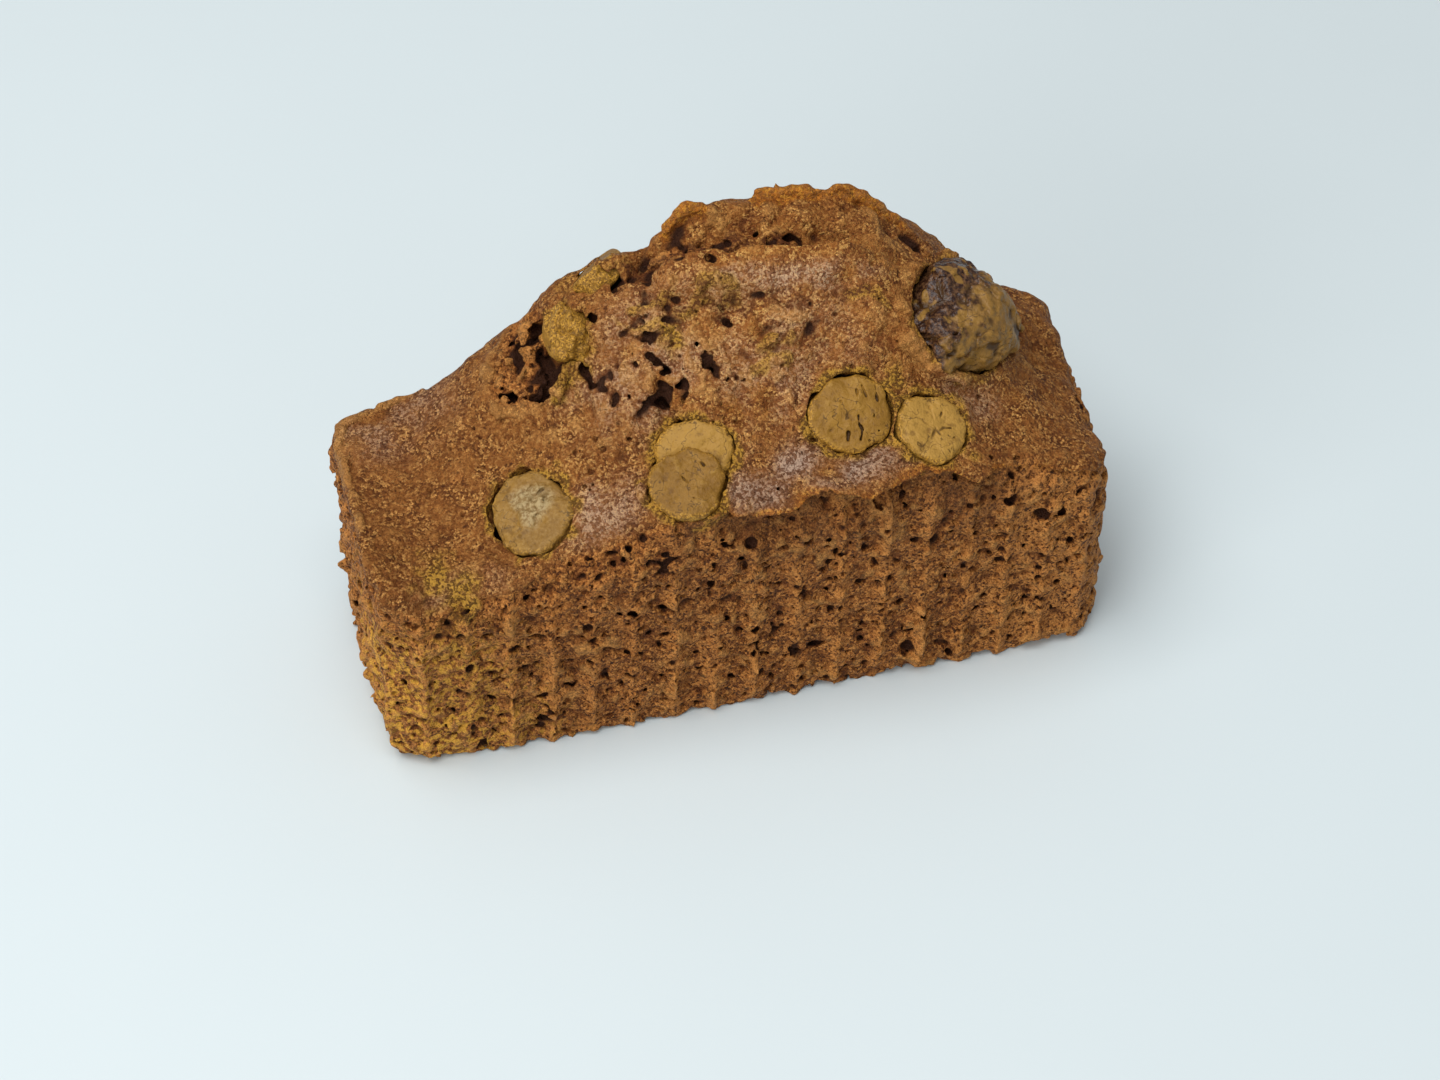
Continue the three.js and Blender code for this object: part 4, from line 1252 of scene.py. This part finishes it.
class ColourSettings(PropertyGroup):
    crust: colour_setting("Crust", "Baked crust", (0.300, 0.104, 0.020))
    crust_dark: colour_setting("Crust, darker", "Darker patches of the crust", (0.215, 0.068, 0.012))
    crust_light: colour_setting("Crust, lighter", "Lighter grain of the crust", (0.42, 0.168, 0.036))
    # painted highlight: pale specks are partly glints, and raised places are lightened with this colour
    crust_speck_and_highlight: colour_setting("Crust speck", "Pale specks in the crust", (0.70, 0.34, 0.092))
    # painted shade: also fills the seams between grains and the painted pits
    crust_shadow: colour_setting("Crust pits", "Dark pits of the crust's grain", (0.070, 0.017, 0.003))
    # painted sheen: the bloom colours are partly sugar bloom and partly the sheen of light on the crust near
    # the lip
    bloom_and_sheen: colour_setting("Bloom", "Pale pinkish bloom near the lip", (0.52, 0.35, 0.25))
    bloom_and_sheen_dark: colour_setting("Bloom, darker", "Crust under the bloom", (0.18, 0.082, 0.044))
    crumb: colour_setting("Crumb", "Open crumb of the walls", (0.42, 0.142, 0.028))
    crumb_dark: colour_setting("Crumb, darker", "Darker crumb", (0.26, 0.080, 0.012))
    crumb_light: colour_setting("Crumb, lighter", "Lit edges of the crumb", (0.70, 0.29, 0.070))
    # painted shade, partly moist crumb: darkens recesses and painted pits
    pore_moist_and_shade: colour_setting("Pores", "Moist crumb deep in a pore", (0.032, 0.009, 0.003))
    golden: colour_setting("Golden crumbs", "Yellow crumbs low on the left", (0.90, 0.46, 0.058))
    # painted light: warm brightening of the dome, partly a lighter crust
    dome_tint_and_light: colour_setting("Dome tint", "Warm light tint of the dome's crust", (0.80, 0.77, 0.72))
    # painted shade, partly moist crumb: the flutes and the wall under the lip
    moist_and_shade: colour_setting("Moist crumb", "Dark moist crumb under the lip", (0.120, 0.044, 0.012))
    toast_light: colour_setting("Toasted edge, lighter", "Yellow glints of it", (0.74, 0.34, 0.045))
    toast: colour_setting("Toasted edge", "Thin orange edges", (0.52, 0.165, 0.014))
    # painted shade, partly moist crumb, along the roll and the step
    crevice_shade_and_moist: colour_setting("Crevices", "Moist crumb along the folds of the dome", (0.110, 0.032, 0.010))
    crumb_shadow: colour_setting("Crumb pits", "Dark grain of the crumb", (0.075, 0.020, 0.004))
    red_crumb: colour_setting("Crumb in cracks", "Crumb at the sides of cracks", (0.150, 0.036, 0.006))
    ash: colour_setting("Dried crystals", "Grey crystals on a dried drop", (0.42, 0.31, 0.15))
    ash_dark: colour_setting("Dried crystals, darker", "Skin between the crystals", (0.25, 0.155, 0.058))
    olive: colour_setting("Stain, darker", "Dark olive crumb in a drop's socket", (0.150, 0.068, 0.010))
    stain: colour_setting("Stain", "Olive and yellow stain round the drops", (0.53, 0.272, 0.036))
    drop: colour_setting("Drop", "Milk chocolate drop", (0.205, 0.094, 0.009))
    drop_light: colour_setting("Drop, lighter", "Lighter part of a drop", (0.275, 0.135, 0.018))
    drop_pale: colour_setting("Drop, pale", "Dry specks on a drop", (0.41, 0.225, 0.045))
    drop_dark: colour_setting("Drop, dark", "Pits in a drop", (0.12, 0.052, 0.010))
    # painted shade: this colour also darkens every recess below the chocolate's smooth face
    slit: colour_setting("Slits", "Deep slits and pits of the chocolate", (0.05, 0.022, 0.006))
    melt: colour_setting("Melted chocolate", "Dark set chocolate of the lump", (0.024, 0.008, 0.005))
    melt_light: colour_setting("Melted, lighter", "Lighter grains of the dark part", (0.13, 0.060, 0.024))


class StageSettings(PropertyGroup):
    floor: colour_setting("Floor", "Pale floor", (0.64, 0.71, 0.725))
    azimuth: FloatProperty(
        name="Camera azimuth",
        description="Turn of the camera round the loaf",
        default=math.radians(-14.5),
        subtype="ANGLE",
    )
    elevation: FloatProperty(
        name="Camera elevation",
        description="Height of the camera over the floor",
        default=math.radians(47.0),
        subtype="ANGLE",
    )
    distance: FloatProperty(
        name="Camera distance",
        description="From the camera to its target",
        default=0.653,
        unit="LENGTH",
    )
    lens: FloatProperty(
        name="Lens", description="Focal length on a 36 mm sensor, in millimetres", default=100.0
    )
    key: FloatProperty(
        name="Key light", description="Power of the overhead light", default=9.0, unit="POWER"
    )
    fill: FloatProperty(
        name="Fill light", description="Power of the front light", default=6.5, unit="POWER"
    )


# ---- The masks that the loaf's material reads ----
# the bloom's patches are partly painted sheen
RAGGED_SEED, PATCHY_SEED = 90, 91   # of the uneven edges of patches, and of the bloom
# heights that keep a mask off what is lower: over the low shelf, the lip and the rim, and on the dome
OVER_SHELF, OVER_LIP, OVER_RIM, ON_DOME = 25, 30, 40, 50
# lines of painted shade and moist crumb along the roll and the step: edge, shift from it, reach, strength
CREVICE_SHADE_LINES = [(STEP_EDGE, 1.3, 1.9, 1.0), (ROLL_EDGE, -0.7, 0.9, 0.8)]


def near_line(distance, reach, full):
    """1 within the full distance, 0 beyond the reach, and a soft step between."""
    return ramp(-distance, -reach, -full)


def stain_mask(points, ragged):
    """Where cocoa butter has stained the cake: in the sockets, in patches and along the folds."""
    x, y, z = points.T
    stain = np.zeros(len(points))
    for node in CHOCOLATE_NODES:
        seat = Seat(node)
        u, v, w = seat.local(x, y, z)
        ring = oval_distance(u, v, seat) - seat.radius + 2.2 * ragged
        level = ramp(w, -3.0, -0.5) * ramp(-w, -4.5, -3.0)
        stain = np.maximum(stain, STAIN_SHARES.get(node, 1.0) * near_line(ring, 1.5, 0.4) * level)
    for middle_x, middle_y, radius in STAINS:
        away = np.hypot(x - middle_x, y - middle_y) / radius + ragged
        stain = np.maximum(stain, near_line(away, 1.1, 0.2) * (z > OVER_SHELF))
    for fold in FOLDS:
        away = path_gap(fold, x, y) + 1.3 * ragged
        stain = np.maximum(stain, 0.75 * near_line(away, 1.1, 0.3) * (z > ON_DOME))
    return stain


def even_sockets(points, relief):
    """The crust round a drop lies low without being a crack, so its relief, and the shade painted from it,
    counts for less there.
    """
    for node in CHOCOLATE_NODES:
        seat = Seat(node)
        u, v, w = seat.local(*points.T)
        out = oval_distance(u, v, seat) - seat.radius
        relief = relief * (1.0 - 0.75 * near_line(out, 4.0, 2.5) * ramp(w, -2.5, -1.0))
    return relief


def crevice_shade_mask(points, ragged):
    """Painted shade and moist crumb along the roll and the step of the dome."""
    x, y, z = points.T
    crevice_shade_and_moist = np.zeros(len(points))
    for edge, shift, reach, strength in CREVICE_SHADE_LINES:
        line = [(place, float(curve_at(edge, place)) + shift) for place in np.linspace(-10.0, 24.0, 18)]
        away = path_gap(line, x, y) + 2.0 * ragged
        crevice_shade_and_moist = np.maximum(crevice_shade_and_moist, strength * near_line(away, reach, 0.3 * reach) * (z > ON_DOME))
    return crevice_shade_and_moist


def toast_mask(points, ragged, raised):
    """Toasted edges: the torn flaps fully and the lower edge of the lip; raised crumb gets a little of the
    toast colour as a painted highlight.
    """
    x, y, z = points.T
    # painted highlight: raised crumb is lightened a little toward the toast colour
    toast = 0.12 * raised
    for flap in (CROWN_FLAP, SMALL_FLAP):
        for start, end in zip(flap, flap[1:]):
            for share in (0.0, 0.33, 0.67):
                spot_x, spot_y, lift, _ = (1 - share) * np.array(start) + share * np.array(end)
                away = np.linalg.norm(points - on_crust(spot_x, spot_y, lift), axis=1)
                toast = np.maximum(toast, near_line(away - 1.5 * ragged, 2.1, 1.3))
    from_edge = np.abs(z - curve_at(LIP_EDGE, x) - 0.2)
    lip = near_line(from_edge, 1.0, 0.2) * ramp(curve_at(LIP, x), 0.4, 1.0) * (y < -20)
    return np.maximum(toast, 0.8 * lip)


def loaf_masks(block, smooth, volumes, points):
    """The numbers that the loaf's material reads, one for each vertex."""
    x, y, z = points.T
    masks = {name: block.sample(volume, points) for name, volume in volumes.items()}
    crumb = masks["crumb"]
    ragged = 0.25 * block.sample(block.noise(1.2, RAGGED_SEED), points)
    # relief: depth under the smooth surface, from which the material paints shade into recesses and
    # highlights on raised places
    relief = even_sockets(points, np.clip(block.sample(smooth, points), -3.0, 3.0))
    golden = ramp(-x - 0.3 * z + 8.0 * ragged, 24.0, 50.0) * ramp(-z, -36.0, -24.0) * ramp(-y, -5.0, 12.0)
    # painted light: the right end of the front wall is lighter where the lip casts less shadow, partly drier
    # crumb
    lit = 0.45 * ramp(x + 2.0 * ragged, 30.0, 46.0)
    patchy = np.clip(0.75 + 0.4 * block.sample(block.noise(2.4, PATCHY_SEED), points), 0.0, 1.0)
    masks.update({
        "relief": relief,
        "stain": stain_mask(points, ragged),
        "golden": golden * crumb,
        "rib_dry_and_lit": np.maximum(masks["rib_dry_and_lit"], lit * crumb),
        # painted shade, partly moist crumb, along the roll and the step
        "crevice_shade_and_moist": crevice_shade_mask(points, ragged),
        # painted light on the dome, partly a lighter crust
        "dome_tint_and_light": spread(DOME_TINT_AND_LIGHT, x, y) * (z > OVER_RIM),
        # painted sheen, partly real bloom, on the crust
        "bloom_and_sheen": spread(BLOOM_AND_SHEEN_PATCHES, x, y) * patchy * (1 - crumb) * (z > OVER_LIP),
        "toast": toast_mask(points, ragged, ramp(relief, 0.15, 0.9) * crumb),
    })
    return masks


# ---- Operators: one for each piece or group of like pieces, and one for the stage ----
# how many faces a sculpted surface has at the very least
LOAF_FACES = 1000
CHOCOLATE_FACES = 100


def drawn_skin(block, field, name, fewest):
    """The surface of a field; an empty one is an error."""
    points, quads = block.skin(field)
    if len(quads) < fewest:
        raise RuntimeError(f"{name} came out empty")
    return points, quads


class CAKE_OT_loaf(Operator):
    """Sculpts the baked loaf: crust, pleated crumb walls, cracks and the sockets of the chocolate"""

    bl_idname = "cake.loaf"
    bl_label = "Baked loaf"

    def execute(self, context):
        settings = context.scene.cake_loaf
        block, field, smooth, volumes = sculpt_loaf(settings)
        points, quads = drawn_skin(block, field, LOAF_NODE, LOAF_FACES)
        masks = loaf_masks(block, smooth, volumes, points)
        facing = field_slope(block, smooth, points[quads].mean(axis=1))
        uv = chart_uv(points, quads, facing)
        material = cake_material(context.scene.cake_colours)
        piece = make_piece("baked_loaf", points + DATUM, quads, masks, material, uv)
        stand_for(piece, LOAF_NODE)
        return {"FINISHED"}


DROP_SEED = 40              # of the first drop; each next one's is ten higher
DROP_STEP = 0.14            # distance between sculpted points of the chocolate, in millimetres
DROP_PITS = 10              # random pits in the face of each drop
SLIT_LEVELS = (0.1, -0.1, -0.3)     # a slit is carved at these heights over the drop's face
# slits in the face of each drop, in its own millimetres: points (u, v), then radius
DROP_SLITS = {
    LEFT: [
        ([(1.5, 1.5), (3.0, 2.2)], 0.16),
        ([(-0.5, 2.6), (1.4, 3.4)], 0.13),
        ([(1.0, -0.6), (2.4, 0.2)], 0.14),
    ],
    FRONT: [
        ([(-0.7, 1.5), (-0.3, 0.4), (0.2, -0.2), (0.8, -1.3)], 0.17),
        ([(2.4, 2.9), (2.9, 2.5), (3.2, 2.0)], 0.09),
    ],
    TUCKED: [([(-2.6, 3.0), (-2.0, 3.2)], 0.12)],
    MIDDLE: [
        ([(0.9, -0.9), (0.7, -2.2), (1.0, -3.2), (0.5, -4.7)], 0.15),
        ([(-1.2, -3.2), (-1.5, -4.4)], 0.10),
        ([(2.5, 3.6), (2.8, 1.8)], 0.10),
        ([(3.3, 0.6), (3.5, -0.8), (3.1, -2.4)], 0.08),
        ([(4.6, 3.4), (4.4, 1.0)], 0.08),
        ([(-0.2, 5.2), (0.1, 3.4)], 0.08),
        ([(1.5, 3.2), (1.3, 1.6)], 0.08),
    ],
    RIGHT: [
        ([(0.1, 3.4), (0.3, 1.6), (0.2, 0.2), (0.9, -1.4)], 0.14),
        ([(2.2, 2.8), (1.2, 0.8), (0.4, 0.0)], 0.12),
        ([(-2.4, 1.8), (-1.2, 0.7), (0.2, 0.2)], 0.12),
        ([(0.4, -0.4), (-0.6, -1.8), (-1.6, -2.6)], 0.12),
        ([(3.0, -0.4), (1.8, -0.2), (0.8, -0.8)], 0.12),
    ],
    SHOULDER: [([(-1.0, 0.5), (1.2, 0.8)], 0.15)],
}
# how pale each drop's face has dried, and how dark brown its skin has stayed
DROP_PALE = {LEFT: 0.15, TUCKED: 0.65, MIDDLE: 0.15, RIGHT: 0.90, CRUSTED: 0.1}
DROP_BROWN = {LEFT: 0.08, FRONT: 0.12}
# the drops whose skin has dried to grey crystals, and how much
ASHEN = {LEFT: 0.9}


def ashen_patch(u, v):
    """Where the dried crystals stand on a drop's face."""
    reach = 1.0 + 0.16 * np.sin(3.0 * np.arctan2(v, u) + 1.0)
    return ramp(-np.hypot((u - 0.7) / 3.4, (v - 0.6) / 4.0), -1.2 * reach, -0.6 * reach)


def drop_face(u, v, seat):
    """Height of a drop's top over a place on it."""
    return DROP_HALF_HEIGHT - DROP_DOME * (u**2 + v**2) / seat.radius**2


def crusted_part(u):
    """The part of the crusted drop that lies under crumbs."""
    return ramp(u, -3.2, -1.5)


def sculpt_drop(seat, seed):
    """One baking drop in its own upright millimetres, its dried skin wrinkled and slit."""
    reach = 1.15 * seat.radius + 2.6
    low = (-reach, -reach, -DROP_HALF_HEIGHT - 0.8)
    high = (reach, reach, DROP_HALF_HEIGHT + 1.0)
    block = Block(low, high, DROP_STEP)
    u, v, w = block.x, block.y, block.z
    field = drop_shape(u, v, w, seat).astype(np.float32)
    out = oval_distance(u, v, seat) / seat.radius
    wrinkle = 0.16 * block.noise(1.6, seed, (1.0, 1.0, 3.0)) + 0.10 * block.noise(0.7, seed + 1)
    crust = crusted_part(u) if seat.node == CRUSTED else 0.3 * ramp(out, 0.84, 1.0)
    crumbs = 0.24 * block.noise(0.6, seed + 2) + 0.18 * block.noise(1.3, seed + 3)
    field = field - 0.16 * block.noise(3.5, seed + 4) - 0.09 * block.noise(2.0, seed + 8)
    smooth = field.copy()
    field = field - 0.4 * wrinkle * (1 - crust) - crumbs * crust
    if seat.node in ASHEN:
        crystals = 0.15 + 0.24 * block.noise(0.7, seed + 7)
        field = field - ashen_patch(u, v) * np.maximum(crystals, 0.0)

    rough = 0.10 * block.noise(0.7, seed + 5)
    for slit, radius in DROP_SLITS.get(seat.node, ()):
        for level in SLIT_LEVELS:
            points = [(a, b, drop_face(a, b, seat) + level) for a, b in slit]
            block.carve_path(field, points, [radius] * len(points), rough, soft=0.10)
    rng = np.random.default_rng(seed + 6)
    for _ in range(DROP_PITS):
        turn, away = rng.uniform(0, 2 * math.pi), 0.8 * seat.radius * math.sqrt(rng.random())
        a, b = away * math.cos(turn), away * math.sin(turn)
        spot = np.array([a, b, drop_face(a, b, seat)])
        block.carve_ball(field, spot, rng.uniform(0.10, 0.22) * rng.uniform(0.8, 1.8, 3), soft=0.1)

    points, quads = drawn_skin(block, field, seat.node, CHOCOLATE_FACES)
    u, v = points[:, 0], points[:, 1]
    masks = {
        "edge": ramp(oval_distance(u, v, seat) / seat.radius, 0.84, 1.0),
        "dark": np.full(len(points), DROP_BROWN.get(seat.node, 0.0)),
        "pale": np.full(len(points), DROP_PALE.get(seat.node, 0.0)),
        "ash": ASHEN.get(seat.node, 0.0) * np.maximum(0.15, ashen_patch(u, v)),
        "relief": block.sample(smooth, points),
    }
    if seat.node == CRUSTED:
        masks["edge"] = np.maximum(masks["edge"], crusted_part(u))
        masks["relief"] *= 0.5
    return points, quads, masks


LUMP_SEED = 300
LUMP_PALE = 0.4
# the line across the lump between its dark left part and its tan right part: a point on it, and the
# direction from the dark part to the tan one
DARK_LINE = (33.4, -6.0)
DARK_LINE_WAY = (0.755, -0.657)


def sculpt_lump(seat):
    """The melted lump in its own upright millimetres, dark on the left and tan on the right."""
    reach = max(LUMP_RADII) + 1.2
    block = Block((-reach,) * 3, (reach,) * 3, DROP_STEP)
    field = lump_shape(block.x, block.y, block.z).astype(np.float32)
    field = field - 0.50 * block.noise(6.0, LUMP_SEED) - 0.30 * block.noise(3.0, LUMP_SEED + 1)
    smooth = field.copy()
    furrows = np.clip(1.0 - 3.5 * np.abs(block.noise(2.6, LUMP_SEED + 6)), 0.0, 1.0) ** 2
    field = field + 0.26 * furrows
    field = field - 0.15 * block.noise(1.3, LUMP_SEED + 2) - 0.14 * block.noise(0.7, LUMP_SEED + 3)
    points, quads = drawn_skin(block, field, seat.node, CHOCOLATE_FACES)

    x, y, _ = (points @ seat.frame_matrix().T + seat.middle).T
    blotch = block.sample(block.noise(1.8, LUMP_SEED + 4), points)
    fine = block.sample(block.noise(0.55, LUMP_SEED + 7), points)
    flecks = block.sample(block.noise(0.9, LUMP_SEED + 5), points)
    beyond = DARK_LINE_WAY[0] * (x - DARK_LINE[0]) + DARK_LINE_WAY[1] * (y - DARK_LINE[1])
    dark = ramp(1.2 * blotch + 0.8 * fine - beyond, -5.2, -1.2)
    dark = dark * (1.0 - 0.7 * ramp(flecks + 0.5 * fine, 0.9, 1.4))
    shade = 0.26 + 0.20 * ramp(-flecks - 0.8 * fine, -0.4, 1.6)
    masks = {
        "edge": 0.30 * ramp(blotch, 0.0, 1.4),
        "dark": np.maximum(dark, shade),
        "pale": np.full(len(points), LUMP_PALE),
        "ash": np.zeros(len(points)),
        "relief": block.sample(smooth, points),
    }
    return points, quads, masks


def seat_piece(name, seat, sculpted, material):
    """Places a sculpted piece of chocolate in its seat."""
    points, quads, masks = sculpted
    placed = points @ seat.frame_matrix().T + seat.middle + DATUM
    piece = make_piece(name, placed, quads, masks, material)
    stand_for(piece, seat.node)


class CAKE_OT_drops(Operator):
    """Sculpts the baking drops that sit in the crust"""

    bl_idname = "cake.drops"
    bl_label = "Chocolate drops"

    def execute(self, context):
        material = chocolate_material("milk_chocolate", context.scene.cake_colours, 0.50, 0.20, 1.0)
        for index, node in enumerate(DROP_NODES):
            seat = Seat(node)
            sculpted = sculpt_drop(seat, DROP_SEED + 10 * index)
            seat_piece(f"{node}_finish", seat, sculpted, material)
        return {"FINISHED"}


class CAKE_OT_lump(Operator):
    """Sculpts the large piece that melted and set again"""

    bl_idname = "cake.lump"
    bl_label = "Melted chocolate lump"

    def execute(self, context):
        material = chocolate_material("melted_chocolate", context.scene.cake_colours, 0.52, 0.30, 0.3)
        seat = Seat(LUMP_NODE)
        seat_piece("melted_lump", seat, sculpt_lump(seat), material)
        return {"FINISHED"}


FLOOR_SIZE = 6.0
ROOM_COLOUR = (0.93, 0.97, 1.0, 1.0)
ROOM_STRENGTH = 0.40
# the two lights, in metres: place and side lengths
OVERHEAD = ((-0.28, -0.14, 1.0), (0.9, 0.7))
FRONT_FILL = ((-0.95, -0.80, 0.45), (0.8, 0.8))
LIT_POINT = (0, 0, 0.03)
# what the camera looks at: its x from the loaf's middle and its height over the floor, in millimetres
TARGET_SHIFT = 0.15
TARGET_HEIGHT = 16.0
SENSOR_WIDTH = 36.0


def area_light(name, placing, power):
    """A soft rectangular light turned towards the loaf."""
    place, sides = placing
    data = bpy.data.lights.new(name, "AREA")
    data.shape = "RECTANGLE"
    data.size, data.size_y = sides
    data.energy = power
    light = bpy.data.objects.new(name, data)
    light.location = place
    light.rotation_euler = (Vector(LIT_POINT) - Vector(place)).to_track_quat("-Z", "Y").to_euler()
    bpy.context.scene.collection.objects.link(light)


class CAKE_OT_stage(Operator):
    """Lays the pale floor, sets soft lights and places the camera"""

    bl_idname = "cake.stage"
    bl_label = "Floor, lights and camera"

    def execute(self, context):
        stage = context.scene.cake_stage
        bpy.ops.mesh.primitive_plane_add(size=FLOOR_SIZE, location=(0, 0, 0))
        floor = context.object
        floor.name = "pale_floor"
        floor.data.materials.append(floor_material(tuple(stage.floor)))

        world = bpy.data.worlds.new("soft_room")
        world.use_nodes = True
        background = world.node_tree.nodes["Background"]
        background.inputs["Color"].default_value = ROOM_COLOUR
        background.inputs["Strength"].default_value = ROOM_STRENGTH
        context.scene.world = world
        context.scene.view_settings.view_transform = "Standard"
        area_light("overhead", OVERHEAD, stage.key)
        area_light("front_fill", FRONT_FILL, stage.fill)

        target = Vector((DATUM[0] + TARGET_SHIFT, DATUM[1], TARGET_HEIGHT)) * MM
        back = Vector((
            math.sin(stage.azimuth) * math.cos(stage.elevation),
            -math.cos(stage.azimuth) * math.cos(stage.elevation),
            math.sin(stage.elevation),
        ))
        data = bpy.data.cameras.new("camera")
        data.lens = stage.lens
        data.sensor_width = SENSOR_WIDTH
        data.clip_start = 0.01
        camera = bpy.data.objects.new("camera", data)
        camera.location = target + back * stage.distance
        camera.rotation_euler = back.to_track_quat("Z", "Y").to_euler()
        context.scene.collection.objects.link(camera)
        context.scene.camera = camera
        return {"FINISHED"}


class CAKE_PT_panel(Panel):
    """Lists the settings and the steps"""

    bl_idname = "CAKE_PT_panel"
    bl_label = "Loaf cake"
    bl_space_type = "VIEW_3D"
    bl_region_type = "UI"
    bl_category = "Loaf cake"

    def draw(self, context):
        scene = context.scene
        for settings in (scene.cake_loaf, scene.cake_colours, scene.cake_stage):
            box = self.layout.box()
            for name in settings.__annotations__:
                box.prop(settings, name)
        for operator in OPERATORS:
            self.layout.operator(operator.bl_idname, text=operator.bl_label)


SETTINGS = {"cake_loaf": LoafSettings, "cake_colours": ColourSettings, "cake_stage": StageSettings}
OPERATORS = [CAKE_OT_stage, CAKE_OT_loaf, CAKE_OT_drops, CAKE_OT_lump]
CLASSES = [*SETTINGS.values(), *OPERATORS, CAKE_PT_panel]


def register():
    for cls in CLASSES:
        bpy.utils.register_class(cls)
    for name, group in SETTINGS.items():
        setattr(bpy.types.Scene, name, PointerProperty(type=group))


def unregister():
    for name in SETTINGS:
        delattr(bpy.types.Scene, name)
    for cls in reversed(CLASSES):
        bpy.utils.unregister_class(cls)


def main():
    register()
    bpy.ops.cake.stage()
    bpy.ops.cake.loaf()
    bpy.ops.cake.drops()
    bpy.ops.cake.lump()


if __name__ == "__main__":
    main()
